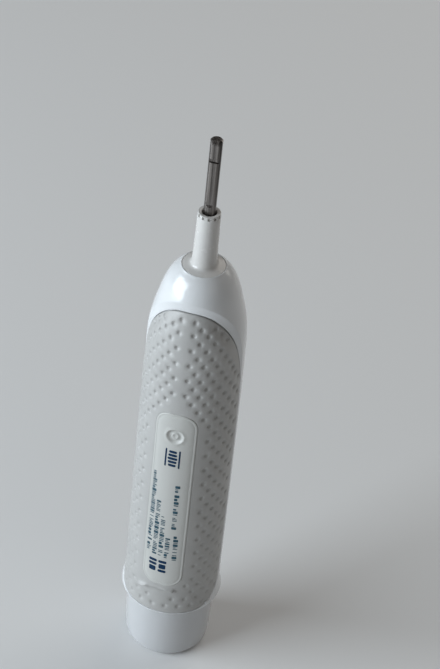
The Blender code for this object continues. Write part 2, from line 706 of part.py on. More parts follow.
def gear_outline(teeth, first_tooth):
    """Straight-sided teeth about the origin. first_tooth is a tooth's direction in degrees."""
    pitch_r = MODULE * teeth / 2.0
    root_r, tip_r = pitch_r - DEDENDUM * MODULE, pitch_r + ADDENDUM * MODULE
    root_width = (TOOTH_WIDTH + TOOTH_TAPER * DEDENDUM) * MODULE
    tip_width = (TOOTH_WIDTH - TOOTH_TAPER * ADDENDUM) * MODULE
    points = []
    for tooth in range(teeth):
        middle = math.radians(first_tooth + 360.0 * tooth / teeth)
        flanks = ((root_r, -root_width), (tip_r, -tip_width), (tip_r, tip_width), (root_r, root_width))
        for radius, width in flanks:
            angle = middle + width / 2.0 / radius
            points.append((radius * math.cos(angle), radius * math.sin(angle)))
    return points


def make_crank():
    """The gear and its offset pin turn about their own axle."""
    add_object("gear_axle", rod(AXLE_R, *AXLE_Z, SMALL_SEGMENTS, y=CRANK_Y), "steel")
    axis = add_axis("crank_axis", 0.0, CRANK_Y, 0.0)
    gear = add_object("crank_gear", prism(gear_outline(GEAR_TEETH, 90.0), *GEAR_Z), "gear_nylon", axis)
    unite(gear, "gear_hub", rod(GEAR_HUB_R, GEAR_HUB_FOOT_Z, GEAR_HUB_TOP_Z))
    axle_bore = rod(AXLE_R + BORE_GAP, GEAR_Z[0] - OVER, AXLE_BORE_TOP_Z, SMALL_SEGMENTS)
    cut(gear, "axle_bore", axle_bore)
    pin_hole_z = (PIN_HOLE_FLOOR_Z, GEAR_HUB_TOP_Z + OVER)
    pin_hole = rod(CRANK_PIN_R + BORE_GAP, *pin_hole_z, SMALL_SEGMENTS, y=CRANK_THROW)
    cut(gear, "pin_hole", pin_hole)
    pin = rod(CRANK_PIN_R, *CRANK_PIN_Z, SMALL_SEGMENTS, y=CRANK_THROW)
    add_object("crank_pin", pin, "steel", axis)


def make_gearbox_frame():
    lower = rod(FRAME_LOWER_R, *FRAME_LOWER_Z, WIDE_SEGMENTS)
    frame = add_object("gearbox_frame", lower, "frame_ivory")
    unite(frame, "upper_plate", rod(FRAME_UPPER_R, *FRAME_UPPER_Z, WIDE_SEGMENTS))
    sides = (("left", -1.0), ("right", 1.0))
    post_z = (FRAME_LOWER_Z[0] + POST_SINK, FRAME_UPPER_Z[1] - POST_SINK)
    for side, sign in sides:
        unite(frame, f"post_{side}", rod(POST_R, *post_z, SMALL_SEGMENTS, sign * POST_X))
    lower_cut_z = (FRAME_LOWER_Z[0] - OVER, FRAME_LOWER_Z[1] + OVER)
    for side, sign in sides:
        post_hole = rod(SCREW_HOLE_R, *POST_HOLE_Z, SMALL_SEGMENTS, sign * POST_X)
        cut(frame, f"post_hole_{side}", post_hole)
        plate_hole = rod(SCREW_HOLE_R, *lower_cut_z, SMALL_SEGMENTS, sign * BOSS_XY[0], BOSS_XY[1])
        cut(frame, f"plate_hole_{side}", plate_hole)
    motor_hole = rod(FRAME_MOTOR_HOLE_R, *lower_cut_z, HOLE_SEGMENTS, y=MOTOR_Y)
    cut(frame, "motor_hole", motor_hole)
    axle_hole = rod(AXLE_R + BORE_GAP, *lower_cut_z, SMALL_SEGMENTS, y=CRANK_Y)
    cut(frame, "axle_hole", axle_hole)
    bush_hole = rod(FRAME_BUSH_R + GAP, FRAME_UPPER_Z[0] - OVER, FRAME_UPPER_Z[1] + OVER)
    cut(frame, "bush_hole", bush_hole)
    add_object("rear_bush", ring(SHAFT_R + BORE_GAP, FRAME_BUSH_R, *REAR_BUSH_Z), "brass")


def make_drive():
    """The drive shaft and its rocker swing about Z."""
    axis = add_axis("drive_axis", 0.0, 0.0, 0.0)
    outline = [(0.0, SHAFT_FOOT_Z), (SHAFT_FOOT_R, SHAFT_FOOT_Z), (SHAFT_FOOT_R, SHAFT_STEP_Z)]
    outline += [(SHAFT_R, SHAFT_STEP_Z), (SHAFT_R, SHAFT_TIP_Z - TIP_CHAMFER)]
    outline += [(SHAFT_R - TIP_CHAMFER, SHAFT_TIP_Z), (0.0, SHAFT_TIP_Z)]
    shaft = add_object("drive_shaft", turned(outline), "shaft_steel", axis)
    reach = SHAFT_R + OVER
    flat = block((-reach, reach), (FLAT_Y, reach), (FLAT_START_Z, SHAFT_TIP_Z + OVER))
    cut(shaft, "shaft_flat", flat)
    cut(shaft, "shaft_notch", block((-reach, reach), (NOTCH_Y, reach), NOTCH_Z))

    rocker = add_object("rocker_lever", rod(ROCKER_HUB_R, *ROCKER_Z), "steel", axis)
    arm_x = (-ROCKER_HALF_WIDTH, ROCKER_HALF_WIDTH)
    arm = block(arm_x, (-ROCKER_REACH, ROCKER_ARM_ROOT_Y), ROCKER_Z)
    unite(rocker, "rocker_arm", arm)
    slot_inner = CRANK_Y + CRANK_THROW + CRANK_PIN_R
    fork_x = (-FORK_HALF_GAP, FORK_HALF_GAP)
    cut_z = (ROCKER_Z[0] - OVER, ROCKER_Z[1] + OVER)
    cut(rocker, "fork_slot", block(fork_x, (-ROCKER_REACH - OVER, slot_inner), cut_z))
    cut(rocker, "rocker_bore", rod(SHAFT_FOOT_R + BORE_GAP, *cut_z, HOLE_SEGMENTS))
    add_object("retaining_clip", ring(SHAFT_R + BORE_GAP, CLIP_R, *CLIP_Z), "steel", axis)


def make_neck():
    fillet = arc(
        NECK_FILLET_R,
        270.0,
        180.0,
        NECK_FILLET_STEPS,
        x=NECK_FOOT_R + NECK_FILLET_R,
        y=NECK_SEAT_Z + NECK_FILLET_R,
    )
    outline = (
        [(NECK_SKIRT_INNER_R, NECK_FLANGE_Z[0]), (NECK_FLANGE_R, NECK_FLANGE_Z[0])]
        + [(NECK_FLANGE_R, NECK_FLANGE_Z[1]), (NECK_SKIRT_R, NECK_FLANGE_Z[1])]
        + [(NECK_SKIRT_R, NECK_SKIRT_TOP_Z), (NECK_SEAT_R, NECK_SEAT_FOOT_Z)]
        + [(NECK_SEAT_R, NECK_SEAT_Z)]
        + fillet
        + [NECK_MIDDLE, (NECK_TOP_R, NECK_TOP_Z), (NECK_MOUTH_R, NECK_TOP_Z)]
        + [(NECK_MOUTH_R, NECK_LIP_Z), (NECK_BORE_R, NECK_LIP_Z), (NECK_BORE_R, NECK_BORE_Z)]
        + [(NECK_SKIRT_INNER_R, NECK_CONE_Z)]
    )
    neck = add_object("neck_sleeve", turned(outline, WIDE_SEGMENTS), "housing_white")
    hole_z = (NECK_FLANGE_Z[0] - OVER, NECK_FLANGE_Z[1] + OVER)
    for side, x in (("left", -POST_X), ("right", POST_X)):
        cut(neck, f"flange_hole_{side}", rod(SCREW_HOLE_R, *hole_z, SMALL_SEGMENTS, x))
    half = RIM_NOTCH_WIDTH / 2.0
    reach = NECK_TOP_R + OVER
    for number in range(RIM_NOTCHES // 2):
        notch_z = (NECK_TOP_Z - RIM_NOTCH_DEPTH, NECK_TOP_Z + OVER)
        notch = block((-half, half), (-reach, reach), notch_z)
        angle = math.radians(RIM_NOTCH_TURN + 360.0 * number / RIM_NOTCHES)
        bmesh.ops.transform(notch, matrix=Matrix.Rotation(angle, 4, "Z"), verts=notch.verts)
        cut(neck, f"rim_notch_{number + 1}", notch)

    bush_bore = SHAFT_R + BORE_GAP
    add_object("front_bush", ring(bush_bore, BUSH_R, *FRONT_BUSH_Z), "brass")
    seal = ring(bush_bore, BUSH_R, SHAFT_SEAL_FOOT_Z, NECK_LIP_Z - GAP)
    add_object("shaft_seal", seal, "seal_black")


def screw(head_r, head_low, head_high, tip, x, y):
    outline = [(0.0, tip), (AXLE_R, tip), (AXLE_R, head_low)]
    outline += [(head_r, head_low), (head_r, head_high), (0.0, head_high)]
    return turned(outline, SMALL_SEGMENTS, x, y)


def make_screws():
    for side, sign in (("left", -1.0), ("right", 1.0)):
        gearbox = screw(*GEARBOX_SCREW, sign * BOSS_XY[0], BOSS_XY[1])
        add_object(f"gearbox_screw_{side}", gearbox, "steel")
        neck = screw(*NECK_SCREW, sign * POST_X, 0.0)
        add_object(f"neck_screw_{side}", neck, "steel")


clear_scene()
make_housing()
make_grip()
make_base_cap()
make_charging_coil()
make_chassis()
make_battery()
make_electronics()
make_button()
make_motor_case()
make_rotor()
make_crank()
make_gearbox_frame()
make_drive()
make_neck()
make_screws()
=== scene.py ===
"""Looks of the electric toothbrush handle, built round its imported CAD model.

Lengths are written in millimetres, and MM turns them into metres where a mesh is made. The body is
described on its skin: u is the arc round the axis, in millimetres at ARC_R from the middle of the back
(+Y) towards +X, and s is the length along a profile. A height lifts a point off that skin. The floor,
the camera and the lights are in metres.
"""

import math
import random

import bmesh
import bpy
import numpy as np
from mathutils import Matrix, Vector
from mathutils.geometry import delaunay_2d_cdt
from mathutils.kdtree import KDTree


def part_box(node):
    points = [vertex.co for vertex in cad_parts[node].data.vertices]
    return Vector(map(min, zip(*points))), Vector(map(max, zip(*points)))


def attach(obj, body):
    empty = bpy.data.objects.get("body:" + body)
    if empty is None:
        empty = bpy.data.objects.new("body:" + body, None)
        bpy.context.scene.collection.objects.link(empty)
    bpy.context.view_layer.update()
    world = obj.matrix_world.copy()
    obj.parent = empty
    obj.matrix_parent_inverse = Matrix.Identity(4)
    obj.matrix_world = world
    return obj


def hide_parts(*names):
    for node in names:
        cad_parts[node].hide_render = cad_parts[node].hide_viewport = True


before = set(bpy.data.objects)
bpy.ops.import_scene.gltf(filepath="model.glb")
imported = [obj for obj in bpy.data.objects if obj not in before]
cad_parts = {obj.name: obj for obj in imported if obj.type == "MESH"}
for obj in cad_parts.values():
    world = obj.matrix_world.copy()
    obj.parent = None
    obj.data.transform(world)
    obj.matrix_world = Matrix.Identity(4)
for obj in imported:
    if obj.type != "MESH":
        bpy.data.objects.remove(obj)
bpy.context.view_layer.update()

MM = 0.001
ARC_R = 15.0
HALF_TURN = math.pi * ARC_R
random.seed(7)


def node_mm(name):
    """A CAD node's lowest and highest corners, in millimetres."""
    low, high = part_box(name)
    return low / MM, high / MM


# How much lower the photo's rounded edges are than the CAD's plain ones
RIM_DROP = 0.8
GRIP_FOOT_DROP = 0.55
GRIP_HEAD_DROP = 0.7

# Driving heights and radii, from the frame
low, high = node_mm("housing_shell")
LIP_Z, LIP_R = low.z, high.x
RIM_Z = high.z - RIM_DROP
low, high = node_mm("back_grip")
GRIP_BOTTOM_Z, GRIP_TOP_Z = low.z - GRIP_FOOT_DROP, high.z - GRIP_HEAD_DROP
low, high = node_mm("label_plate")
LABEL_BOTTOM_Z, LABEL_TOP_Z, LABEL_HALF = low.z, high.z, high.x
_, high = node_mm("base_cap")
CAP_R, PLUG_TOP_Z = high.x, high.z
CAP_TOP_Z = LIP_Z - 0.3  # a shadow gap under the lip
_, high = node_mm("neck_sleeve")
NECK_TOP_Z = high.z
low, high = node_mm("drive_shaft")
SHAFT_FOOT_Z, SHAFT_TIP_Z, SHAFT_R = low.z, high.z, high.x
low, high = node_mm("power_button")
BUTTON_Z, BUTTON_R, BUTTON_BACK_Y = (low.z + high.z) / 2.0, high.x, high.y
_, high = node_mm("button_bezel")
BEZEL_R, BEZEL_BACK_Y = high.x, high.y
low, high = node_mm("indicator_lens")
LENS_Z, LENS_R, LENS_BACK_Y = (low.z + high.z) / 2.0, high.x, high.y

# Housing
WALL = 2.8
SHOULDER_WALL = 3.0
SHOULDER_Z = 136.0
CEILING_Z = 148.5
NECK_HOLE_R = 6.28
RIM_ROUND = 0.2
LIP_ROUND = 0.25
BEZEL_HOLE_GAP = 0.12
LENS_HOLE_GAP = 0.1
OUTLINE = (  # height, radius
    (LIP_Z, LIP_R - 0.05), (24.2, 15.9), (26.2, 15.55), (29.0, 15.32), (33.0, 15.22), (58.0, 15.22),
    (79.0, 15.12), (108.0, 14.92), (127.0, 14.58), (131.5, 14.27), (136.0, 13.55), (140.0, 12.55),
    (145.0, 11.2), (148.5, 9.75), (150.7, 8.35), (151.7, 7.4), (RIM_Z - RIM_ROUND, 6.62),
)
SEAM_U = math.radians(-120.0) * ARC_R  # the net's seam, on a plain side of the body

# Grip
GRIP_HALF_U = math.radians(88.0) * ARC_R
GRIP_CORNER = (14.0, 9.0)  # of the ellipse at its lower corners, round and up
GRIP_SPRING_Z = 95.0
ARCH_POWERS = (2.45, 2.6)  # round and up
ARCH_ZONE = (112.0, 140.0)  # heights between which the sides turn into the arch
GRIP_DEPTH = 1.6
GRIP_EDGE = ((0.06, -0.17), (0.18, -0.05), (0.42, 0.0))  # inset, height
GRIP_EDGE_DROP = 0.35
POCKET_GAP = 0.12
ARCH_GAP = 0.2  # more of it round the arch
LEDGE_SIDE = 0.12  # width of the rolled edge of the housing along the grip's sides
LEDGE_TOP = 2.7  # and over the arch
LEDGE_DROP_SIDE = 0.12
LEDGE_DROP = 0.9
LEDGE_SHAPE = (  # share of its width, share of its drop
    (1.0, 0.0), (0.95, 0.015), (0.88, 0.08), (0.78, 0.2), (0.6, 0.4), (0.4, 0.59), (0.22, 0.74),
    (0.08, 0.88),
)
DIMPLE_R = 0.82
DIMPLE_DEPTH = 0.45
DIMPLE_SHALLOW = 0.6  # share of that depth at the bottom
DIMPLE_SHALLOW_ZONE = (35.0, 85.0)  # heights over which it grows to the full depth
DIMPLE_SHAPE = (  # share of its radius, share of its depth
    (1.12, 0.0), (0.96, -0.1), (0.74, -0.55), (0.4, -0.92), (0.0, -1.0),
)
DIMPLE_COLUMNS = 12  # on each side of the middle
DIMPLE_COLUMN = 7.7  # degrees between columns
DIMPLE_FLARE = 0.11  # degrees more for each millimetre above DIMPLE_FLARE_Z
DIMPLE_FLARE_Z = 121.0
DIMPLE_ROWS = (140.4, 136.5, 131.5, 126.1, 120.5, 114.7)
DIMPLE_PITCH = 5.9  # between the rows below those
DIMPLE_TO_LABEL = 2.1
DIMPLE_TO_EDGE = 1.05

# A wrinkle in the grip below the label, highest near its ends
WRINKLE = (
    (0.0, 0.08, 0.22, 0.36, 0.6, 0.78, 0.93, 1.0),  # share of its length
    (8.3, 7.4, 5.6, 3.8, 1.0, -1.6, -4.0, -4.6),  # u
    (31.4, 31.8, 32.3, 32.9, 33.6, 33.5, 33.1, 32.9),  # z
    (0.0, 0.9, 0.95, 0.2, 0.12, 0.6, 1.05, 0.0),  # height
)
WRINKLE_SECTION = (  # height above its line, share of its height
    (0.95, 0.0), (0.5, 0.45), (0.0, 1.0), (-0.22, 0.8), (-0.45, 0.0),
)
WRINKLE_U = (-7.6, 9.5)  # no dimples between these
WRINKLE_Z = (30.6, 36.0)

# Label
LABEL_CORNER_R = 5.0
LABEL_DEPTH = 0.7
LABEL_PROUD = 0.11
LABEL_POCKET_DEPTH = 0.75
LABEL_BORDER = (  # inset, height
    (0.04, 0.03), (0.16, 0.1), (0.32, LABEL_PROUD + 0.03), (0.55, LABEL_PROUD + 0.03),
    (0.75, LABEL_PROUD - 0.05), (0.95, LABEL_PROUD - 0.05), (1.15, LABEL_PROUD),
)
DISH_Z = 98.5
DISH = (  # radius, height over the label
    (3.15, 0.0), (3.0, 0.07), (2.8, 0.1), (2.6, 0.02), (2.35, -0.25), (2.05, -0.48), (1.7, -0.58),
    (1.4, -0.55), (1.15, -0.42), (0.95, -0.34), (0.7, -0.38), (0.45, -0.5), (0.2, -0.55),
    (0.0, -0.57),
)

# Print on the label, in (u, z)
INK_PROUD = 0.03
PRINT_ROWS = (  # u, bottom, top
    (4.9, 49.0, 83.3), (2.95, 48.0, 71.2), (1.0, 48.0, 65.8), (-0.95, 47.5, 57.0),
    (-2.4, 60.5, 79.5), (-3.4, 47.0, 58.0),
)
STROKE_LENGTHS = (0.3, 0.3, 0.4, 0.7, 1.1)
STROKE_WIDTHS = (1.0, 1.5, 1.5)
STROKE_GAP = 0.32
WORD_GAP = 1.1
WORD_END_SHARE = 0.14
DIAL_U = 0.1
DIAL_SIDE = 2.1
DIAL_SIDE_Z = 89.7
DIAL_FOOT_Z = 87.0
DIAL_PITCH = 1.35
DIAL_BARS = 5
BLOCKS = (  # u, z, width, length
    (3.1, 45.4, 2.6, 1.1), (3.1, 43.8, 2.6, 1.1), (3.1, 41.7, 2.2, 2.0), (0.0, 45.4, 2.6, 1.1),
    (0.0, 43.3, 2.2, 2.0), (0.0, 41.3, 2.6, 1.1),
)

# Base cap
SOCKET_R = 4.7
SOCKET_DEPTH = 16.5
SOCKET_WALL = 1.0
SOCKET_END_WALL = 1.2
CAP_FLOOR = 2.0
CAP_WALL = 1.6
FOOT_GROOVE_R = (7.6, 8.7)
FOOT_GROOVE_DEPTH = 0.12
PLUG_R = 12.1
PLUG_BORE_R = 9.7
SEAL_GROOVE_R = 10.8
SEAL_GROOVE_Z = (25.0, 26.7)
TAB_U = math.radians(-64.0) * ARC_R
TAB_Z = 24.3
TAB_FOOT = (2.6, 1.2, 0.3)  # width, height and corner radius
TAB_FACE = (2.2, 0.8, 0.2)

# Neck
SEAT_DROP = 0.1
NOTCHES = 12
NOTCH_HALF = math.radians(6.5)
NOTCH_DEPTH = 0.42
NOTCH_HEIGHT = 1.05
NECK_TIP_R = 3.3
NECK_MOUTH_R = 2.1
NECK_BORE_R = 2.9
NECK_MOUTH_FOOT_Z = 169.2

# Drive shaft
SHAFT_FLAT = 1.35  # from the axis to the flat
SHAFT_NOTCH = 0.95  # and to the bottom of the cross notch
SHAFT_BEVEL_CUT = 0.1
FLAT_FOOT_Z = 174.3
SHAFT_NOTCH_Z = (187.9, 189.1)
CUTTER_R = 1.6  # of the flat's run-out
TIP_LEAD = 1.3
TIP_SLOPE = 0.4


# ---- Shapes in the plane ----


def smooth_curve(points):
    """A monotone cubic through (x, y) points, as a function of x."""
    xs, ys = (np.array(values, float) for values in zip(*points))
    steps = np.diff(xs)
    slopes = np.diff(ys) / steps
    tangents = np.empty_like(xs)
    tangents[0], tangents[-1] = slopes[0], slopes[-1]
    for i in range(1, len(xs) - 1):
        before, after = slopes[i - 1], slopes[i]
        tangents[i] = 0.0 if before * after <= 0.0 else 2.0 * before * after / (before + after)

    def value(x):
        i = int(np.clip(np.searchsorted(xs, x) - 1, 0, len(steps) - 1))
        h = steps[i]
        t = (x - xs[i]) / h
        a = (1.0 + 2.0 * t) * (1.0 - t) ** 2 * ys[i] + t * t * (3.0 - 2.0 * t) * ys[i + 1]
        return a + h * (t * (1.0 - t) ** 2 * tangents[i] - t * t * (1.0 - t) * tangents[i + 1])

    return value


def ease(x, low, high):
    """0 below low, 1 above high, and smooth between."""
    t = min(max((x - low) / (high - low), 0.0), 1.0)
    return t * t * (3.0 - 2.0 * t)


def arc(radius, start, end, steps, x=0.0, y=0.0):
    """Points on an arc, in degrees from +x."""
    angles = [math.radians(start + (end - start) * i / steps) for i in range(steps + 1)]
    return [(x + radius * math.cos(a), y + radius * math.sin(a)) for a in angles]


def resampled(points, pitch):
    """A closed line's points at an even pitch."""
    line = np.array(points + points[:1], float)
    lengths = np.concatenate([[0.0], np.cumsum(np.linalg.norm(np.diff(line, axis=0), axis=1))])
    count = max(8, round(lengths[-1] / pitch))
    stations = np.arange(count) * lengths[-1] / count
    return list(zip(np.interp(stations, lengths, line[:, 0]), np.interp(stations, lengths, line[:, 1])))


def offset_loop(loop, grow):
    """A closed, anticlockwise loop moved outwards by a distance, or by one distance for each point."""
    line = np.array(loop, float)
    along = np.roll(line, -1, axis=0) - np.roll(line, 1, axis=0)
    along /= np.linalg.norm(along, axis=1)[:, None]
    outwards = np.stack([along[:, 1], -along[:, 0]], axis=1)
    return [tuple(p) for p in line + outwards * np.reshape(grow, (-1, 1))]


class Profile:
    """A (radius, height) line round the axis, walked by its length."""

    def __init__(self, points):
        line = np.array(points, float)
        self.r, self.z = line[:, 0], line[:, 1]
        self.lengths = np.concatenate([[0.0], np.cumsum(np.hypot(np.diff(self.r), np.diff(self.z)))])
        self.end = self.lengths[-1]

    def at(self, s):
        return float(np.interp(s, self.lengths, self.r)), float(np.interp(s, self.lengths, self.z))

    def normal(self, s):
        """Outwards, in the (radius, height) plane."""
        (r0, z0), (r1, z1) = self.at(max(s - 0.15, 0.0)), self.at(min(s + 0.15, self.end))
        length = math.hypot(r1 - r0, z1 - z0)
        return (z1 - z0) / length, (r0 - r1) / length

    def station(self, z, low=0.0, high=None):
        """Where the line is at a height, between two stations where it only rises or only falls."""
        high = self.end if high is None else high
        inside = (self.lengths >= low) & (self.lengths <= high)
        stations, heights = self.lengths[inside], self.z[inside]
        if heights[0] > heights[-1]:
            stations, heights = stations[::-1], heights[::-1]
        return float(np.interp(z, heights, stations))

    def place(self, u, s, height=0.0):
        """The point of the skin, in metres."""
        r, z = self.at(s)
        nr, nz = self.normal(s)
        angle = u / ARC_R
        r += nr * height
        return Vector((r * math.sin(angle), r * math.cos(angle), z + nz * height)) * MM


outer_r = smooth_curve(OUTLINE)


def inner_r(z):
    return outer_r(z) - (SHOULDER_WALL if z >= SHOULDER_Z else WALL)


# ---- Meshes ----


def add_object(name, bm, smooth_angle=40.0):
    bmesh.ops.recalc_face_normals(bm, faces=bm.faces)
    mesh = bpy.data.meshes.new(name)
    bm.to_mesh(mesh)
    bm.free()
    mesh.shade_smooth()
    mesh.set_sharp_from_angle(angle=math.radians(smooth_angle))
    obj = bpy.data.objects.new(name, mesh)
    bpy.context.scene.collection.objects.link(obj)
    return obj


class Net:
    """Points (u, s, height) on a profile, joined by triangles that never cross the net's loops."""

    def __init__(self, profile):
        self.profile = profile
        self.points = []
        self.edges = []
        self.holes = []

    def add(self, points, height=0.0):
        """Adds points, with one height or one for each point, and returns their numbers."""
        first = len(self.points)
        heights = np.broadcast_to(height, (len(points),))
        self.points += [(u, s, float(h)) for (u, s), h in zip(points, heights)]
        return list(range(first, len(self.points)))

    def add_loop(self, points, height=0.0):
        numbers = self.add(points, height)
        self.edges += list(zip(numbers, numbers[1:] + numbers[:1]))
        return numbers

    def add_rings(self, centre, rings, steps=10):
        """Rings of (radius, height) round a (u, s) centre, true circles on the skin."""
        stretch = ARC_R / self.profile.at(centre[1])[0]
        for number, (radius, height) in enumerate(rings):
            count = steps if radius > 0.0 else 1
            turn = 180.0 / steps * (number % 2)
            circle = arc(radius, turn, turn + 360.0, count)[:count]
            self.add([(centre[0] + x * stretch, centre[1] + y) for x, y in circle], height)

    def fill(self, candidates, height=0.0, clearance=0.5):
        """Adds the candidates that are clear of every point that is already there."""
        tree = KDTree(len(self.points))
        for number, (u, s, _) in enumerate(self.points):
            tree.insert((u, s, 0.0), number)
        tree.balance()
        clear = [p for p in candidates if tree.find((*p, 0.0))[2] > clearance]
        heights = height(clear) if callable(height) else height
        self.add(clear, heights)

    def build(self, bm):
        """Makes the net's vertices and triangles, and returns the vertex of each point."""
        flat = [Vector((u, s)) for u, s, _ in self.points]
        _, _, faces, origins, _, _ = delaunay_2d_cdt(flat, self.edges, [], 0, 1e-7, True)
        placed = [bm.verts.new(self.profile.place(*p)) for p in self.points]
        closed = [set(hole) for hole in self.holes]
        for face in faces:
            if all(origins[i] for i in face):
                corners = [origins[i][0] for i in face]
                if not any(hole.issuperset(corners) for hole in closed):
                    bm.faces.new([placed[i] for i in corners])
        return placed


def lattice(u_range, s_range, pitch_u, pitch_s):
    """Staggered rows of points."""
    points = []
    rows = max(1, round((s_range[1] - s_range[0]) / pitch_s))
    columns = max(1, round((u_range[1] - u_range[0]) / pitch_u))
    for row in range(rows + 1):
        s = s_range[0] + (s_range[1] - s_range[0]) * row / rows
        shift = 0.5 if row % 2 else 0.0
        for column in range(columns + 1):
            points.append((u_range[0] + (u_range[1] - u_range[0]) * (column + shift) / columns, s))
    return points


def within(loop, points, margin=0.0):
    """The points that are inside a convex anticlockwise loop by at least a margin."""
    line = np.array(loop, float)
    along = np.roll(line, -1, axis=0) - line
    lengths = np.linalg.norm(along, axis=1)
    along, line = along[lengths > 1e-9], line[lengths > 1e-9]
    along /= np.linalg.norm(along, axis=1)[:, None]
    inwards = np.stack([-along[:, 1], along[:, 0]], axis=1)
    spots = np.array(points, float)
    depth = (spots[:, None, 0] - line[None, :, 0]) * inwards[None, :, 0]
    depth += (spots[:, None, 1] - line[None, :, 1]) * inwards[None, :, 1]
    return [p for p, inside in zip(points, depth.min(axis=1) > margin) if inside]


def bridge(bm, first, second):
    """A band of quads between two rings of vertices that match one by one."""
    for i in range(len(first)):
        j = (i + 1) % len(first)
        bm.faces.new((first[i], first[j], second[j], second[i]))


def close_back(bm, net, rim, loop, height, field=(), clearance=0.0):
    """Builds a net with a plain back at a height, and joins the back's loop to the net's rim."""
    front = net.build(bm)
    back = Net(net.profile)
    back_rim = back.add_loop(loop, height)
    if field:
        back.fill(field, height, clearance)
    behind = back.build(bm)
    bridge(bm, [front[i] for i in rim], [behind[i] for i in back_rim])


def weld(bm):
    """Joins points that meet, and drops the loose ones."""
    bmesh.ops.remove_doubles(bm, verts=bm.verts, dist=0.00002 * MM)
    loose = [v for v in bm.verts if not v.link_faces]
    bmesh.ops.delete(bm, geom=loose, context="VERTS")


def join_rings(bm, rings):
    """Joins each ring to the next, and the last to the first. A ring of one vertex is a tip."""
    for first, second in zip(rings, rings[1:] + rings[:1]):
        if len(first) == 1 and len(second) == 1:
            continue
        if len(first) > 1 and len(second) > 1:
            bridge(bm, first, second)
            continue
        tip, ring = (first[0], second) if len(first) == 1 else (second[0], first)
        for i, vertex in enumerate(ring):
            bm.faces.new((tip, vertex, ring[(i + 1) % len(ring)]))


def lathe(name, outline, angles, radius=None, smooth_angle=40.0):
    """A closed (radius, height) outline turned about the axis. radius(r, z, angle) may change it."""
    bm = bmesh.new()
    rings = []
    for r, z in outline:
        if r <= 0.0:
            rings.append([bm.verts.new((0.0, 0.0, z * MM))])
            continue
        ring = []
        for angle in angles:
            reach = radius(r, z, angle) if radius else r
            ring.append(bm.verts.new((reach * math.sin(angle) * MM, reach * math.cos(angle) * MM, z * MM)))
        rings.append(ring)
    join_rings(bm, rings)
    return add_object(name, bm, smooth_angle)


def even_angles(count):
    return [math.tau * i / count for i in range(count)]


# ---- Outlines on the skin ----


def grip_outline():
    """The grip's edge in (u, z): elliptic lower corners, straight sides and a superelliptic arch."""
    across, up = GRIP_CORNER
    corner = [
        (GRIP_HALF_U - across + across * math.sin(t), GRIP_BOTTOM_Z + up - up * math.cos(t))
        for t in np.linspace(0.0, math.pi / 2.0, 24)
    ]
    arch = []
    for t in np.linspace(0.0, math.pi / 2.0, 120):
        u = GRIP_HALF_U * max(math.cos(t), 0.0) ** (2.0 / ARCH_POWERS[0])
        z = GRIP_SPRING_Z + (GRIP_TOP_Z - GRIP_SPRING_Z) * math.sin(t) ** (2.0 / ARCH_POWERS[1])
        arch.append((u, z))
    half = corner + arch
    left = [(-u, z) for u, z in reversed(half) if u > 1e-6]
    return resampled(half + left, 0.7)


def label_outline(inset):
    """The label's rounded rectangle in (u, z), made smaller by an inset."""
    radius = LABEL_CORNER_R - inset
    x = LABEL_HALF - LABEL_CORNER_R
    low, high = LABEL_BOTTOM_Z + LABEL_CORNER_R, LABEL_TOP_Z - LABEL_CORNER_R
    side = [(radius + x, z) for z in np.linspace(low, high, round((high - low) / 0.9))[1:-1]]
    points = arc(radius, -90.0, 0.0, 10, x, low) + side + arc(radius, 0.0, 90.0, 10, x, high)
    left = arc(radius, 90.0, 180.0, 10, -x, high) + [(-u, z) for u, z in reversed(side)]
    left += arc(radius, 180.0, 270.0, 10, -x, low)
    return points + left


def on_skin(loop, profile, low=0.0, high=None):
    """A (u, z) loop as (u, s) on a profile."""
    return [(u, profile.station(z, low, high)) for u, z in loop]


def front_circle(radius, z, profile, at_radius, steps, low, high):
    """Where a round hole along Y meets the front of a skin, clockwise as seen from outside."""
    points = []
    for x, up in arc(radius, 0.0, 360.0, steps)[:steps]:
        angle = math.pi - math.asin(x / at_radius(z + up))
        points.append((angle * ARC_R, profile.station(z + up, low, high)))
    return points


# ---- Housing ----


def housing_profile():
    """Outside from the lip to the rim, down the neck hole and down the inside."""
    foot_z = LIP_Z + LIP_ROUND
    outside = [(outer_r(z), z) for z in np.arange(foot_z, RIM_Z - RIM_ROUND, 0.4)]
    lip = arc(LIP_ROUND, -90.0, 0.0, 4, outer_r(foot_z) - LIP_ROUND, foot_z)[:-1]
    rim = arc(RIM_ROUND, 30.0, 180.0, 6, NECK_HOLE_R + RIM_ROUND, RIM_Z - RIM_ROUND)
    hole = [(NECK_HOLE_R, CEILING_Z)]
    top_r = inner_r(CEILING_Z - 0.01)
    inside = [(top_r, CEILING_Z)] if top_r > NECK_HOLE_R + 0.1 else []
    inside += [(inner_r(z), z) for z in np.arange(CEILING_Z - 2.0, LIP_Z + 6.0, -2.0)]
    bore_r = inner_r(LIP_Z + 7.0)
    inside += [(bore_r, LIP_Z)]
    return Profile([(bore_r, LIP_Z)] + lip + outside + rim + hole + inside)


def ledge_width(z):
    return LEDGE_SIDE + (LEDGE_TOP - LEDGE_SIDE) * ease(z, *ARCH_ZONE)


def ledge_drop(z):
    return LEDGE_DROP_SIDE + (LEDGE_DROP - LEDGE_DROP_SIDE) * ease(z, *ARCH_ZONE)


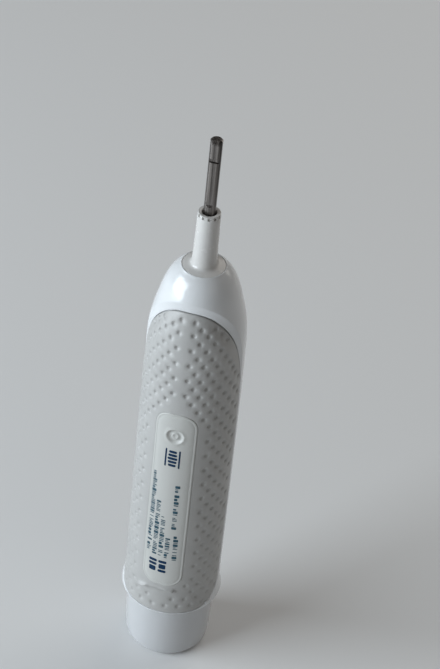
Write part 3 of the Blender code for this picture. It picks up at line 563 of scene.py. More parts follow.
def make_housing():
    profile = housing_profile()
    rim_s = profile.lengths[int(np.argmax(profile.z))]
    lip_s = profile.lengths[5]
    net = Net(profile)

    # Both ends of the net, which are welded to each other
    seam = [lip_s * t for t in (0.0, 0.35, 0.7)] + [s for s in profile.lengths[2:6]]
    seam += list(np.arange(lip_s + 1.6, rim_s - 1.4, 1.6))
    seam += list(profile.lengths[(profile.lengths > rim_s - 0.9) & (profile.lengths < rim_s + 0.6)])
    seam += list(np.arange(rim_s + 3.0, profile.end - 1.0, 5.0)) + [profile.end]
    seam = sorted(set(round(float(s), 5) for s in seam))
    ends = (SEAM_U, SEAM_U + 2.0 * HALF_TURN)
    for u in ends:
        net.add([(u, s) for s in seam])

    # The grip's pocket, with its rolled edge
    outline = grip_outline()
    heights = np.array([z for _, z in outline])
    edge = on_skin(outline, profile, lip_s, rim_s)
    width = np.array([ledge_width(z) for z in heights])
    drop = np.array([ledge_drop(z) for z in heights])
    gap = np.array([POCKET_GAP + ARCH_GAP * ease(z, *ARCH_ZONE) for z in heights])
    for share, fall in LEDGE_SHAPE:
        net.add_loop(offset_loop(edge, gap + width * share), -drop * fall)
    net.add_loop(offset_loop(edge, gap), -drop)
    floor_loop = offset_loop(edge, gap - 0.05)
    net.add_loop(floor_loop, -GRIP_DEPTH - 0.1)
    floor = within(floor_loop, lattice((-30.0, 30.0), (lip_s, rim_s), 2.4, 3.2), 0.8)
    net.fill(floor, -GRIP_DEPTH - 0.1, 0.8)

    # Holes for the button's bezel and the light's lens, through to the inside
    throats = []
    front = (lip_s, rim_s)
    for radius, z, steps in ((BEZEL_R + BEZEL_HOLE_GAP, BUTTON_Z, 64), (LENS_R + LENS_HOLE_GAP, LENS_Z, 24)):
        net.add_loop(front_circle(radius + 0.22, z, profile, outer_r, steps, *front), 0.0)
        net.add_loop(front_circle(radius + 0.07, z, profile, outer_r, steps, *front), -0.06)
        mouth = net.add_loop(front_circle(radius, z, profile, outer_r, steps, *front), -0.2)
        back = net.add_loop(front_circle(radius, z, profile, inner_r, steps, rim_s + 5.0, profile.end), 0.0)
        net.holes += [mouth, back]
        throats.append((mouth, back))

    # Rows of the lip and rim, then the open surfaces
    rows = [s for s in seam if s <= lip_s + 1.0 or rim_s - 1.0 < s < rim_s + 1.0]
    for s in rows:
        net.add([(u, s) for u in np.linspace(*ends, 121)[1:-1]])
    outline_loop = offset_loop(edge, gap + width)
    open_field = lattice((ends[0] + 0.785, ends[1] - 0.785), (lip_s + 1.2, rim_s - 1.5), 0.785, 1.6)
    pocket = set(within(outline_loop, open_field, -0.35))

    def clear(points, holes, first, last, end):
        """The points short of an end and outside round holes, which are (radius, height)."""
        middles = [(radius, profile.station(z, first, last)) for radius, z in holes]
        return [
            (u, s)
            for u, s in points
            if u < end and all(math.hypot(u - HALF_TURN, s - middle) >= r for r, middle in middles)
        ]

    field = [p for p in open_field if p not in pocket]
    holes = ((BEZEL_R + 0.5, BUTTON_Z), (LENS_R + 0.4, LENS_Z))
    net.fill(clear(field, holes, lip_s, rim_s, ends[1] - 0.3), 0.0, 0.42)
    inner_field = lattice((ends[0] + 1.5, ends[1] - 1.5), (rim_s + 2.0, profile.end - 0.8), 1.57, 5.0)
    holes = (((BEZEL_R + 0.3) * 1.35, BUTTON_Z), ((LENS_R + 0.3) * 1.35, LENS_Z))
    net.fill(clear(inner_field, holes, rim_s + 5.0, profile.end, ends[1] - 0.5), 0.0, 0.8)
    net.add([(u, profile.end) for u in np.linspace(*ends, 121)[1:-1]])

    bm = bmesh.new()
    placed = net.build(bm)
    for mouth, back in throats:
        bridge(bm, [placed[i] for i in mouth], [placed[i] for i in back])
    weld(bm)
    return add_object("shell_white", bm)


# ---- Grip and label ----


def skin_profile():
    return Profile([(outer_r(z), z) for z in np.arange(LIP_Z + 0.3, RIM_Z - RIM_ROUND, 0.4)])


def dimple_places():
    """Staggered columns of dimples, clear of the label, the wrinkle and the grip's edge."""
    rows = list(DIMPLE_ROWS)
    while rows[-1] > GRIP_BOTTOM_Z + DIMPLE_PITCH:
        rows.append(rows[-1] - DIMPLE_PITCH)
    middles = [(a + b) / 2.0 for a, b in zip(rows, rows[1:])]
    places = []
    for column in range(1, DIMPLE_COLUMNS + 1):
        for z in middles if column % 2 == 0 else rows:
            spread = DIMPLE_COLUMN + DIMPLE_FLARE * max(z - DIMPLE_FLARE_Z, 0.0)
            u = math.radians(column * spread) * ARC_R
            places += [(u, z), (-u, z)]
    blocked = set(within(label_outline(-DIMPLE_TO_LABEL), places))
    for u, z in places:
        if WRINKLE_U[0] < u < WRINKLE_U[1] and WRINKLE_Z[0] < z < WRINKLE_Z[1]:
            blocked.add((u, z))
    places = [p for p in places if p not in blocked]
    return within(offset_loop(grip_outline(), -DIMPLE_TO_EDGE), places)


def make_grip():
    profile = skin_profile()
    net = Net(profile)
    outline = grip_outline()
    edge = on_skin(outline, profile)
    sink = np.array([0.9 * (ledge_drop(z) - LEDGE_DROP_SIDE) for _, z in outline])

    rim = net.add_loop(edge, -GRIP_EDGE_DROP - sink)
    for inset, height in GRIP_EDGE:
        net.add_loop(offset_loop(edge, -inset), height - sink)

    tree = KDTree(len(edge))
    for number, (u, s) in enumerate(edge):
        tree.insert((u, s, 0.0), number)
    tree.balance()

    def surface(points):
        """The grip lies deeper close to its arch."""
        heights = []
        for u, s in points:
            _, number, distance = tree.find((u, s, 0.0))
            heights.append(-sink[number] * (1.0 - ease(distance, 0.3, 5.0)))
        return np.array(heights)

    # The label's pocket
    for inset, height in ((-0.3, 0.0), (-0.12, 0.0), (-0.04, -0.04), (-0.03, -LABEL_POCKET_DEPTH)):
        net.add_loop(on_skin(label_outline(inset), profile), height)
    pocket = on_skin(label_outline(-0.05), profile)
    floor = within(pocket, lattice((-8.0, 8.0), (8.0, 92.0), 1.6, 2.4), 0.6)
    net.fill(floor, -LABEL_POCKET_DEPTH, 0.5)

    for u, z in dimple_places():
        centre = (u, profile.station(z))
        base = float(surface([centre])[0])
        share = DIMPLE_SHALLOW + (1.0 - DIMPLE_SHALLOW) * ease(z, *DIMPLE_SHALLOW_ZONE)
        net.add_rings(centre, [(DIMPLE_R * r, base + DIMPLE_DEPTH * share * h) for r, h in DIMPLE_SHAPE])

    for across, share in WRINKLE_SECTION:
        ridge, heights = [], []
        for along in np.linspace(0.0, 1.0, 31):
            u, z, height = (float(np.interp(along, WRINKLE[0], values)) for values in WRINKLE[1:])
            ridge.append((u, profile.station(z + across)))
            heights.append(height * share)
        net.add(ridge, heights)

    field = lattice((-GRIP_HALF_U, GRIP_HALF_U), (edge[0][1], profile.station(GRIP_TOP_Z)), 1.15, 1.25)
    blocked = set(within(on_skin(label_outline(-0.6), profile), field))
    field = [p for p in within(offset_loop(edge, -0.8), field) if p not in blocked]
    net.fill(field, surface, 0.5)

    bm = bmesh.new()
    flat = within(offset_loop(edge, -1.5), lattice((-24, 24), (1, 130), 2.4, 4.0))
    close_back(bm, net, rim, edge, -GRIP_DEPTH, flat, 1.0)
    weld(bm)
    return add_object("grip_soft", bm, 60.0)


def make_label():
    profile = skin_profile()
    net = Net(profile)
    rim = net.add_loop(on_skin(label_outline(0.0), profile), -0.06)
    for inset, height in LABEL_BORDER:
        net.add_loop(on_skin(label_outline(inset), profile), height)
    centre = (0.0, profile.station(DISH_Z))
    net.add_rings(centre, [(r, LABEL_PROUD + h) for r, h in DISH], 40)
    field = lattice((-6.0, 6.0), (centre[1] - 62.5, centre[1] + 7.5), 0.9, 1.3)
    field = within(on_skin(label_outline(1.6), profile), field)
    field = [p for p in field if math.hypot(p[0] - centre[0], p[1] - centre[1]) > DISH[0][0] + 0.25]
    net.fill(field, LABEL_PROUD, 0.4)

    bm = bmesh.new()
    flat = within(on_skin(label_outline(1.5), profile), lattice((-6, 6), (8, 90), 2.0, 4.0))
    close_back(bm, net, rim, on_skin(label_outline(0.0), profile), -LABEL_DEPTH, flat, 0.8)
    weld(bm)
    return add_object("label_panel", bm, 60.0)


def add_patch(bm, profile, faces, foot, foot_height):
    """A closed patch on a skin. faces are (u, z) loops with their heights, from its edge inwards."""
    net = Net(profile)
    loops = [net.add_loop(on_skin(loop, profile), height) for loop, height in faces]
    close_back(bm, net, loops[0], on_skin(foot, profile), foot_height)


def print_patch(bm, profile, loop):
    """A thin printed mark on the label, from a (u, z) loop."""
    shape = resampled(loop, 0.35)
    add_patch(bm, profile, ((shape, LABEL_PROUD + INK_PROUD),), shape, LABEL_PROUD - INK_PROUD)


def bar(u, z, width, length, radius):
    """A rounded bar's outline about its middle, in (u, z)."""
    x, y = width / 2.0 - radius, length / 2.0 - radius
    points = []
    for cx, cy, start in ((x, -y, -90.0), (x, y, 0.0), (-x, y, 90.0), (-x, -y, 180.0)):
        points += arc(radius, start, start + 90.0, 3, u + cx, z + cy)
    return points


def make_prints():
    """Generic marks where the real label has print: rows of short strokes, a dial of bars and two blocks."""
    profile = skin_profile()
    small = bmesh.new()
    for u, low, high in PRINT_ROWS:
        z = low
        while z < high - 0.6:
            length = random.choice(STROKE_LENGTHS)
            width = random.choice(STROKE_WIDTHS)
            on_line = u + (max(STROKE_WIDTHS) - width) / 2.0
            print_patch(small, profile, bar(on_line, z + length / 2.0, width, length, 0.12))
            z += length + (WORD_GAP if random.random() < WORD_END_SHARE else STROKE_GAP)
    strokes = add_object("label_print_rows", small, 60.0)

    bold = bmesh.new()
    for side in (-DIAL_SIDE, DIAL_SIDE):
        print_patch(bold, profile, bar(DIAL_U + side, DIAL_SIDE_Z, 0.5, 7.2, 0.15))
    for number in range(DIAL_BARS):
        width = 3.0 - 0.3 * abs(number - DIAL_BARS // 2)
        print_patch(bold, profile, bar(DIAL_U, DIAL_FOOT_Z + DIAL_PITCH * number, width, 0.95, 0.3))
    for u, z, width, length in BLOCKS:
        print_patch(bold, profile, bar(u, z, width, length, 0.35))
    marks = add_object("label_print_marks", bold, 60.0)
    return strokes, marks


# ---- Base cap ----


def make_base_cap():
    """The white foot: a ring to stand on, the charging socket, and the plug with its seal's groove."""
    top, plug_top = CAP_TOP_Z, PLUG_TOP_Z
    inner_groove, outer_groove = FOOT_GROOVE_R
    socket_outer = SOCKET_R + SOCKET_WALL
    bore = CAP_R - CAP_WALL
    outline = [(SOCKET_R + 0.35, 0.0), (inner_groove, 0.0), (inner_groove + 0.1, FOOT_GROOVE_DEPTH)]
    outline += [(outer_groove - 0.1, FOOT_GROOVE_DEPTH), (outer_groove, 0.0)]
    outline += arc(2.2, -90.0, -15.0, 8, CAP_R - 2.65, 2.2)
    outline += [(CAP_R - 0.3, 3.6), (CAP_R - 0.12, 6.5)]
    outline += [(CAP_R, z) for z in np.linspace(10.0, top - 0.3, 6)]
    outline += [(CAP_R - 0.1, top - 0.08), (CAP_R - 0.3, top), (PLUG_R, top)]
    outline += [(PLUG_R, SEAL_GROOVE_Z[0]), (SEAL_GROOVE_R, SEAL_GROOVE_Z[0])]
    outline += [(SEAL_GROOVE_R, SEAL_GROOVE_Z[1]), (PLUG_R, SEAL_GROOVE_Z[1])]
    outline += [(PLUG_R, plug_top - 0.3), (PLUG_R - 0.3, plug_top)]
    outline += [(PLUG_BORE_R + 0.2, plug_top), (PLUG_BORE_R, plug_top - 0.2)]
    outline += [(PLUG_BORE_R, 21.0), (bore, 19.5), (bore, CAP_FLOOR), (socket_outer, CAP_FLOOR)]
    outline += [(socket_outer, SOCKET_DEPTH + SOCKET_END_WALL), (0.0, SOCKET_DEPTH + SOCKET_END_WALL)]
    outline += [(0.0, SOCKET_DEPTH), (SOCKET_R - 0.5, SOCKET_DEPTH), (SOCKET_R, SOCKET_DEPTH - 0.5)]
    outline += [(SOCKET_R, 0.3), (SOCKET_R + 0.1, 0.1)]
    return lathe("base_white", outline, even_angles(144))


def make_lip_tab():
    """A small raised mark on the lip, beside the grip, where the base cap locks."""
    bm = bmesh.new()
    foot, face = (resampled(bar(TAB_U, TAB_Z, *size), 0.25) for size in (TAB_FOOT, TAB_FACE))
    add_patch(bm, skin_profile(), ((foot, 0.2), (face, 0.4)), foot, -0.2)
    return add_object("lip_tab", bm, 60.0)


# ---- Neck and drive shaft ----


def make_neck():
    """The neck sleeve: a seat in the housing's rim, a slim cone and a crown of notches."""
    base, top = RIM_Z - SEAT_DROP, NECK_TOP_Z
    body = smooth_curve(((base + 2.6, 3.66), (base + 4.2, 3.58), (162.0, 3.45), (top - 1.1, 3.32)))
    skirt = [(6.0, 147.0), (6.25, 150.0), (6.25, base - 0.04), (6.19, base + 0.05), (6.0, base + 0.12)]
    skirt += [(5.4, base + 0.26), (4.8, base + 0.4), (4.3, base + 0.58), (3.98, base + 0.86)]
    skirt += [(3.82, base + 1.25), (3.73, base + 1.8)]
    outside = [(body(z), z) for z in np.linspace(base + 2.6, top - NOTCH_HEIGHT - 0.08, 14)]
    crown = [(NECK_TIP_R, top - NOTCH_HEIGHT - 0.02), (NECK_TIP_R + 0.001, top - NOTCH_HEIGHT)]
    crown += [(3.29, top - 0.35), (3.22, top - 0.12), (3.05, top), (2.45, top)]
    crown += [(2.25, top - 0.07), (NECK_MOUTH_R, top - 0.3), (NECK_MOUTH_R, NECK_MOUTH_FOOT_Z)]
    crown += [(NECK_BORE_R, NECK_MOUTH_FOOT_Z), (NECK_BORE_R, 142.5), (5.7, 140.5)]
    flange = [(5.7, 132.8), (9.9, 132.8), (9.9, 134.6), (6.9, 134.6), (6.9, 144.0)]
    outline = flange + skirt + outside + crown

    angles = []
    for number in range(NOTCHES):
        middle = math.tau * (number + 0.5) / NOTCHES
        edge = NOTCH_HALF + math.radians(0.5)
        half_step = math.pi / NOTCHES
        for turn in (-half_step, -0.75 * half_step, -edge, -NOTCH_HALF, -0.4 * NOTCH_HALF):
            angles.append(middle + turn)
        for turn in (0.4 * NOTCH_HALF, NOTCH_HALF, edge, 0.75 * half_step):
            angles.append(middle + turn)

    def radius(r, z, angle):
        turn = (angle / math.tau * NOTCHES) % 1.0 - 0.5
        in_notch = abs(turn) * math.tau / NOTCHES <= NOTCH_HALF + 1e-6
        if in_notch and top - NOTCH_HEIGHT - 0.001 < z < top - 0.3 and 2.8 < r <= NECK_TIP_R + 0.001:
            return min(r, NECK_TIP_R - NOTCH_DEPTH)
        return r

    return lathe("neck_white", outline, angles, radius, smooth_angle=32.0)


def make_shaft():
    """The drive shaft: a D-flat that faces the back, bevelled edges, a cross notch and a chamfered tip."""
    tip = SHAFT_TIP_Z
    corner = math.acos(SHAFT_FLAT / SHAFT_R)
    half = corner / 2.0
    bevel = SHAFT_R * math.cos(half) - SHAFT_BEVEL_CUT
    edges = [math.atan((bevel / SHAFT_FLAT - math.cos(half)) / math.sin(half))]
    edges += [half + math.acos(bevel / SHAFT_R), corner, math.acos(SHAFT_NOTCH / SHAFT_R)]
    angles = even_angles(72) + [e * side % math.tau for e in edges for side in (1, -1)]
    angles = sorted({round(a, 6) for a in angles})

    def radius(r, z, angle):
        level = SHAFT_R * 2.0
        if z > FLAT_FOOT_Z - 1.3:
            below = max(FLAT_FOOT_Z - z, 0.0)
            level = SHAFT_FLAT + CUTTER_R - math.sqrt(CUTTER_R**2 - below**2)
        if SHAFT_NOTCH_Z[0] + 0.001 < z < SHAFT_NOTCH_Z[1] - 0.001:
            level = SHAFT_NOTCH
        if z > tip - TIP_LEAD:
            level -= TIP_SLOPE * (z - (tip - TIP_LEAD))
        facing = math.cos(angle)
        if facing < 1e-6:
            return r
        reach = min(r, level / facing)
        if z > FLAT_FOOT_Z + 0.5 and r > SHAFT_R - 0.01:
            aside = math.cos(min(angle, math.tau - angle) - half)
            reach = min(reach, bevel / aside)
        return reach

    outline = [(0.0, SHAFT_FOOT_Z), (1.1, SHAFT_FOOT_Z), (1.25, SHAFT_FOOT_Z + 0.15), (1.25, 128.2)]
    outline += [(SHAFT_R - 0.1, 128.2), (SHAFT_R, 128.3)]
    heights = list(np.linspace(131.0, 172.8, 15))
    heights += [FLAT_FOOT_Z - 0.15 * step for step in range(8, 0, -1)]
    heights += [FLAT_FOOT_Z, FLAT_FOOT_Z + 0.3, FLAT_FOOT_Z + 0.55]
    heights += list(np.linspace(176.0, 187.0, 7))
    for z in SHAFT_NOTCH_Z:
        heights += [z - 0.003, z + 0.003]
    heights += [190.5, 192.5, tip - TIP_LEAD, tip - 0.3]
    outline += [(SHAFT_R, z) for z in heights] + [(SHAFT_R - 0.3, tip), (0.0, tip)]
    return lathe("shaft_ground", outline, angles, radius, smooth_angle=22.0)


# ---- Front: button, bezel and lens ----


def front_disc(name, rings, z, back_y, steps=72):
    """A piece let into the front. rings are (radius, height over the housing), from its edge inwards."""
    bm = bmesh.new()
    turned = []
    for number, (radius, height) in enumerate(rings):
        circle = arc(radius, 0.0, 360.0, steps)[:steps] if radius > 0.0 else [(0.0, 0.0)]
        ring = []
        for x, up in circle:
            y = back_y if height is None else -math.sqrt((outer_r(z + up) + height) ** 2 - x * x)
            ring.append(bm.verts.new((x * MM, y * MM, (z + up) * MM)))
        turned.append(ring)
    join_rings(bm, turned)
    return add_object(name, bm, 45.0)


def make_front():
    inner = 6.0
    bezel = [(inner, None), (BEZEL_R, None), (BEZEL_R, -0.1), (BEZEL_R - 0.06, 0.1), (BEZEL_R - 0.2, 0.22)]
    bezel += [(BEZEL_R - 0.4, 0.25), (inner + 0.35, 0.25), (inner + 0.12, 0.18), (inner, 0.0)]
    ring = front_disc("bezel_ring", bezel, BUTTON_Z, BEZEL_BACK_Y)

    r = BUTTON_R
    face = [(0.0, None), (r, None), (r, 0.1), (r - 0.08, 0.32), (r - 0.25, 0.46), (r - 0.5, 0.5)]
    face += [(r - 1.0, 0.46), (r - 1.6, 0.32), (r - 2.4, 0.2), (r - 3.4, 0.14), (1.75, 0.12)]
    face += [(1.65, 0.24), (1.5, 0.3), (1.25, 0.3), (1.1, 0.24), (1.0, 0.12), (0.5, 0.12), (0.0, 0.12)]
    button = front_disc("button_soft", face, BUTTON_Z, BUTTON_BACK_Y)

    dome = [(0.0, None), (LENS_R, None), (LENS_R, -0.2), (LENS_R - 0.08, -0.06), (LENS_R - 0.3, 0.02)]
    dome += [(LENS_R * 0.5, 0.07), (0.0, 0.09)]
    lens = front_disc("light_lens", dome, LENS_Z, LENS_BACK_Y, 32)
    return ring, button, lens


# ---- Materials ----


class Shader:
    """A Principled material whose colour, roughness and relief come from procedural nodes."""

    def __init__(self, name, **values):
        self.material = bpy.data.materials.new(name)
        self.material.use_nodes = True
        self.tree = self.material.node_tree
        self.principled = self.tree.nodes["Principled BSDF"]
        for socket, value in values.items():
            self.principled.inputs[socket.replace("_", " ")].default_value = value
        self.place = self.add("ShaderNodeTexCoord").outputs["Object"]
        self.relief = None

    def add(self, kind, **settings):
        node = self.tree.nodes.new(kind)
        for name, value in settings.items():
            setattr(node, name, value)
        return node

    def link(self, output, target):
        self.tree.links.new(output, target)

    def stretched(self, scale):
        mapping = self.add("ShaderNodeMapping")
        mapping.inputs["Scale"].default_value = scale
        self.link(self.place, mapping.inputs["Vector"])
        return mapping.outputs["Vector"]

    def noise(self, scale, detail=3.0, stretch=None, roughness=0.5):
        node = self.add("ShaderNodeTexNoise")
        node.inputs["Scale"].default_value = scale
        node.inputs["Detail"].default_value = detail
        node.inputs["Roughness"].default_value = roughness
        self.link(self.stretched(stretch) if stretch else self.place, node.inputs["Vector"])
        return node.outputs["Fac"]

    def cells(self, scale):
        node = self.add("ShaderNodeTexVoronoi", feature="F1")
        node.inputs["Scale"].default_value = scale
        self.link(self.place, node.inputs["Vector"])
        return node.outputs["Distance"]

    def colours(self, value, *stops):
        ramp = self.add("ShaderNodeValToRGB").color_ramp
        while len(ramp.elements) < len(stops):
            ramp.elements.new(0.5)
        for element, (position, colour) in zip(ramp.elements, stops):
            element.position = position
            element.color = (*colour, 1.0)
        node = self.tree.nodes[-1]
        self.link(value, node.inputs["Fac"])
        self.link(node.outputs["Color"], self.principled.inputs["Base Color"])

    def roughness(self, value, low, high):
        """Roughness from low to high, where a texture goes from 0.3 to 0.7."""
        node = self.add("ShaderNodeMapRange")
        self.link(value, node.inputs["Value"])
        limits = (("From Min", 0.3), ("From Max", 0.7), ("To Min", low), ("To Max", high))
        for name, limit in limits:
            node.inputs[name].default_value = limit
        self.link(node.outputs["Result"], self.principled.inputs["Roughness"])

    def bump(self, value, distance):
        """Relief of a height in millimetres, over any relief that is already there."""
        node = self.add("ShaderNodeBump")
        node.inputs["Distance"].default_value = distance * MM
        node.inputs["Strength"].default_value = 1.0
        self.link(value, node.inputs["Height"])
        if self.relief is not None:
            self.link(self.relief, node.inputs["Normal"])
        self.relief = node.outputs["Normal"]
        self.link(self.relief, self.principled.inputs["Normal"])


def tinted(colour, share):
    return tuple(min(c * share, 1.0) for c in colour)


def moulded(name, colour, roughness, grain=0.004, vary=0.03, **values):
    """Moulded plastic: faint cloudiness, slight waviness of the gloss and a fine grain."""
    shader = Shader(name, **values)
    cloud = shader.noise(60.0, 2.0)
    shader.colours(cloud, (0.3, tinted(colour, 1.0 - vary)), (0.7, colour))
    shader.roughness(shader.noise(420.0, 2.0), roughness * 0.85, roughness * 1.2)
    shader.bump(shader.noise(2600.0, 2.0), grain)
    return shader.material


def soft_rubber(name, colour):
    """Soft-touch rubber: a dull, very fine pebbled face with a little handling polish."""
    shader = Shader(name, Specular_IOR_Level=0.5)
    cloud = shader.noise(90.0, 3.0)
    shader.colours(cloud, (0.3, tinted(colour, 0.95)), (0.7, tinted(colour, 1.03)))
    shader.roughness(shader.noise(160.0, 3.0), 0.36, 0.48)
    shader.bump(shader.cells(2400.0), 0.006)
    shader.bump(shader.noise(5200.0, 2.0), 0.003)
    return shader.material


def ground_steel(name, colour, roughness, streaks=(1.0, 1.0, 0.02), painted_reflection=0.0):
    """Ground or drawn metal, with streaks along one axis, and, when the last share is above 0, darker bands
    along that axis that are painted dark reflections.
    """
    shader = Shader(name, Metallic=1.0)
    lines = shader.noise(3500.0, 3.0, streaks)
    # Painted reflection: the dark bands along the streaks stand in for dark surroundings that the metal
    # reflects
    grain_and_reflection_bands = shader.noise(1050.0, 3.0, streaks, 0.6) if painted_reflection else lines
    shader.colours(grain_and_reflection_bands, (0.36, tinted(colour, 0.85 - 0.7 * painted_reflection)), (0.64, colour))
    shader.roughness(lines, roughness * 0.75, roughness * 1.3)
    shader.bump(lines, 0.004)
    return shader.material


def plain_metal(name, colour, roughness):
    """Plated or plain metal, a little cloudy."""
    shader = Shader(name, Metallic=1.0)
    cloud = shader.noise(700.0, 4.0)
    shader.colours(cloud, (0.3, tinted(colour, 0.85)), (0.7, colour))
    shader.roughness(shader.noise(1500.0, 3.0), roughness * 0.8, roughness * 1.25)
    shader.bump(cloud, 0.003)
    return shader.material


def printed_ink(name, colour):
    """Pad-printed ink, a little uneven."""
    shader = Shader(name, Specular_IOR_Level=0.2)
    cloud = shader.noise(1200.0, 3.0)
    shader.colours(cloud, (0.32, tinted(colour, 1.5)), (0.6, colour))
    shader.roughness(cloud, 0.45, 0.6)
    shader.bump(cloud, 0.003)
    return shader.material


def wound_wire(name, colour):
    """Turns of enamelled wire, with painted shade in the grooves between them."""
    shader = Shader(name, Metallic=0.9)
    wave = shader.add("ShaderNodeTexWave", wave_type="BANDS", bands_direction="Z")
    wave.inputs["Scale"].default_value = 820.0
    wave.inputs["Distortion"].default_value = 0.15
    shader.link(shader.place, wave.inputs["Vector"])
    turns_and_groove_shade = wave.outputs["Fac"]
    # The dark end of the bands is painted shade in the grooves between the turns
    shader.colours(turns_and_groove_shade, (0.0, tinted(colour, 0.35)), (0.6, colour))
    shader.roughness(shader.noise(900.0), 0.25, 0.4)
    shader.bump(turns_and_groove_shade, 0.12)
    return shader.material


def circuit_board(name, colour):
    """Solder mask over a grid of tracks."""
    shader = Shader(name, Coat_Weight=0.3, Coat_Roughness=0.15)
    brick = shader.add("ShaderNodeTexBrick")
    brick.inputs["Scale"].default_value = 180.0
    brick.inputs["Mortar Size"].default_value = 0.03
    shader.link(shader.place, brick.inputs["Vector"])
    shader.colours(brick.outputs["Fac"], (0.0, colour), (1.0, tinted(colour, 2.2)))
    shader.roughness(shader.noise(500.0), 0.3, 0.45)
    shader.bump(brick.outputs["Fac"], 0.03)
    return shader.material


def clear_lens(name, colour):
    shader = Shader(name, Transmission_Weight=0.35, IOR=1.49)
    cloud = shader.noise(300.0)
    shader.colours(cloud, (0.3, tinted(colour, 0.92)), (0.7, colour))
    shader.roughness(cloud, 0.08, 0.16)
    shader.bump(shader.noise(1800.0), 0.002)
    return shader.material


WHITE = (0.66, 0.67, 0.68)
GRIP = (0.40, 0.395, 0.385)
LABEL = (0.495, 0.495, 0.475)

FINISHES = {
    "housing_white": moulded("gloss_white", WHITE, 0.20, 0.003, 0.02, Coat_Weight=0.25, Coat_Roughness=0.12),
    "grip_grey": soft_rubber("grip_rubber", GRIP),
    "label_grey": moulded("label_satin", LABEL, 0.42, 0.006, 0.03),
    "button_white": moulded("button_satin", (0.74, 0.76, 0.78), 0.42, 0.006),
    "lens_clear": clear_lens("lens_milky", (0.72, 0.80, 0.76)),
    # The shaft's darker bands along its length are painted dark reflections
    "shaft_steel": ground_steel("shaft_ground_steel", (0.30, 0.275, 0.26), 0.24, painted_reflection=1.0),
    "steel": plain_metal("plain_steel", (0.58, 0.58, 0.59), 0.34),
    "nickel": plain_metal("nickel_strip", (0.66, 0.64, 0.58), 0.28),
    "brass": ground_steel("turned_brass", (0.70, 0.52, 0.25), 0.28, (0.02, 0.02, 1.0)),
    "copper": plain_metal("copper_wire", (0.70, 0.36, 0.19), 0.32),
    "seal_black": soft_rubber("seal_rubber", (0.025, 0.025, 0.026)),
    "chassis_grey": moulded("chassis_plastic", (0.22, 0.23, 0.24), 0.5, 0.012, 0.08),
    "frame_ivory": moulded("frame_plastic", (0.68, 0.65, 0.56), 0.45, 0.01, 0.05),
    "gear_nylon": moulded("gear_nylon", (0.76, 0.74, 0.67), 0.42, 0.008, 0.04, Subsurface_Weight=0.1),
    "battery_green": moulded("battery_sleeve", (0.06, 0.28, 0.16), 0.3, 0.008, 0.1),
    "board_green": circuit_board("board_mask", (0.03, 0.17, 0.07)),
    "magnet_black": moulded("magnet_ferrite", (0.055, 0.055, 0.06), 0.55, 0.012, 0.2),
}
COIL_FINISH = wound_wire("coil_wire", (0.70, 0.36, 0.19))
# The base cap's white is the housing's plastic made darker: painted shade
CAP_PAINTED_SHADE_WHITE = moulded(
    "cap_white", (0.51, 0.515, 0.525), 0.20, 0.003, 0.02, Coat_Weight=0.25, Coat_Roughness=0.12
)
# The neck sleeve's white is the housing's plastic made darker and warmer: painted shade
NECK_PAINTED_SHADE_WHITE = moulded(
    "neck_white", (0.57, 0.557, 0.54), 0.24, 0.0025, 0.02, Coat_Weight=0.2, Coat_Roughness=0.12
)
INK = printed_ink("ink_blue", (0.001, 0.02, 0.055))
INK_ROWS = printed_ink("ink_blue_rows", (0.025, 0.065, 0.09))


def dress(obj, slot, finish=None, body="handle", stands_for=()):
    """Gives a piece its slot's finish, or one of its own, and puts it on its body."""
    obj.data.materials.clear()
    obj.data.materials.append(finish or FINISHES[slot])
    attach(obj, body)
    if stands_for:
        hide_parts(*stands_for)


# A CAD node arrives with a material that is named after its slot
for name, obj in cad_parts.items():
    slot = obj.data.materials[0].name
    obj.data.materials[0] = COIL_FINISH if name == "charging_coil" else FINISHES[slot]

dress(make_housing(), "housing_white", stands_for=("housing_shell",))
dress(make_lip_tab(), "housing_white")
dress(make_grip(), "grip_grey", stands_for=("back_grip",))
dress(make_label(), "label_grey", stands_for=("label_plate",))
rows, marks = make_prints()
dress(rows, "label_grey", INK_ROWS)
dress(marks, "label_grey", INK)
# The base cap gets the darker white, which is painted shade
dress(make_base_cap(), "housing_white", CAP_PAINTED_SHADE_WHITE, stands_for=("base_cap",))
# The neck sleeve gets the darker, warmer white, which is painted shade
dress(make_neck(), "housing_white", NECK_PAINTED_SHADE_WHITE, stands_for=("neck_sleeve",))
dress(make_shaft(), "shaft_steel", body="drive", stands_for=("drive_shaft",))
ring, button, lens = make_front()
dress(ring, "housing_white", stands_for=("button_bezel",))
dress(button, "button_white", body="button", stands_for=("power_button",))
dress(lens, "lens_clear", stands_for=("indicator_lens",))


# ---- Floor, light and camera ----


FLOOR_HALF = 4.0
FLOOR_SHADES = ((0.3, 0.77), (0.7, 0.78))


def make_floor():
    bm = bmesh.new()
    bmesh.ops.create_grid(bm, x_segments=2, y_segments=2, size=FLOOR_HALF)
    floor = add_object("floor", bm)
    shader = Shader("floor_pale")
    cloud = shader.noise(1.2, 2.0)
    shader.colours(cloud, *((place, (shade,) * 3) for place, shade in FLOOR_SHADES))
    shader.roughness(cloud, 0.5, 0.6)
    floor.data.materials.append(shader.material)


CAMERA_AZIMUTH = math.radians(192.5)  # 0 looks along +Y
CAMERA_DISTANCE = 0.44185  # along the floor, in metres
CAMERA_HEIGHT = 0.49344
CAMERA_PAN = math.radians(0.873)
CAMERA_TILT = math.radians(39.6555)
CAMERA_ROLL = math.radians(6.507)
CAMERA_LENS = 106.03


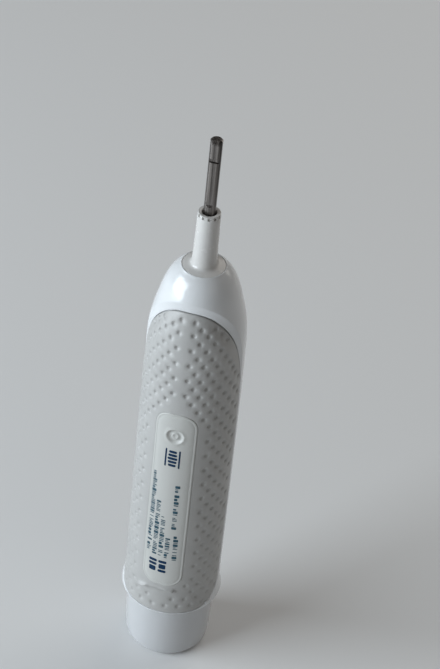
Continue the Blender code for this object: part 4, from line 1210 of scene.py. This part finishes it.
def add_camera():
    forward = Vector(
        (
            math.sin(CAMERA_PAN) * math.cos(CAMERA_TILT),
            math.cos(CAMERA_PAN) * math.cos(CAMERA_TILT),
            -math.sin(CAMERA_TILT),
        )
    )
    right = forward.cross(Vector((0.0, 0.0, 1.0))).normalized()
    up = right.cross(forward)
    turned_right = right * math.cos(CAMERA_ROLL) + up * math.sin(CAMERA_ROLL)
    turned_up = up * math.cos(CAMERA_ROLL) - right * math.sin(CAMERA_ROLL)
    data = bpy.data.cameras.new("camera")
    data.lens = CAMERA_LENS
    data.clip_start = 0.01
    camera = bpy.data.objects.new("camera", data)
    bpy.context.scene.collection.objects.link(camera)
    columns = (turned_right, turned_up, -forward, Vector((0.0, -CAMERA_DISTANCE, CAMERA_HEIGHT)))
    pose = Matrix([[column[row] for column in columns] for row in range(3)] + [[0.0, 0.0, 0.0, 1.0]])
    camera.matrix_world = Matrix.Rotation(CAMERA_AZIMUTH, 4, "Z") @ pose
    bpy.context.scene.camera = camera


def add_area(name, left, away, height, size, power, colour):
    """An area light placed by how far it is to the camera's left and behind the object."""
    across = Vector((-math.cos(CAMERA_AZIMUTH), -math.sin(CAMERA_AZIMUTH), 0.0))
    depth = Vector((-math.sin(CAMERA_AZIMUTH), math.cos(CAMERA_AZIMUTH), 0.0))
    place = across * left + depth * away + Vector((0.0, 0.0, height))
    data = bpy.data.lights.new(name, "AREA")
    data.shape = "RECTANGLE"
    data.size, data.size_y = size
    data.energy = power
    data.color = colour
    light = bpy.data.objects.new(name, data)
    bpy.context.scene.collection.objects.link(light)
    light.location = place
    aim = Vector((0.0, 0.0, AIM_HEIGHT)) - place
    light.rotation_euler = aim.to_track_quat("-Z", "Y").to_euler()


DAYLIGHT = (0.84, 0.93, 1.0)
LIGHTS = (  # name, metres to the left, behind and up, size, power, colour
    ("key", 1.0, -0.32, 0.42, (0.85, 0.7), 14.8, DAYLIGHT),
    ("window", 1.0, -0.42, 0.12, (0.5, 0.3), 1.2, DAYLIGHT),
    ("fill", -0.8, -0.9, 0.9, (0.9, 0.9), 0.8, (1.0, 0.94, 0.87)),
    ("back", -0.7, 0.9, 0.8, (1.1, 0.9), 4.5, (1.0, 0.97, 0.92)),
)
WORLD_COLOUR = (0.83, 0.83, 0.82)
WORLD_STRENGTH = 0.2
AIM_HEIGHT = 0.09


def light_the_scene():
    for light in LIGHTS:
        add_area(*light)
    world = bpy.data.worlds.new("studio")
    bpy.context.scene.world = world
    world.use_nodes = True
    background = world.node_tree.nodes["Background"]
    background.inputs["Color"].default_value = (*WORLD_COLOUR, 1.0)
    background.inputs["Strength"].default_value = WORLD_STRENGTH
    bpy.context.scene.view_settings.view_transform = "Standard"


make_floor()
add_camera()
light_the_scene()
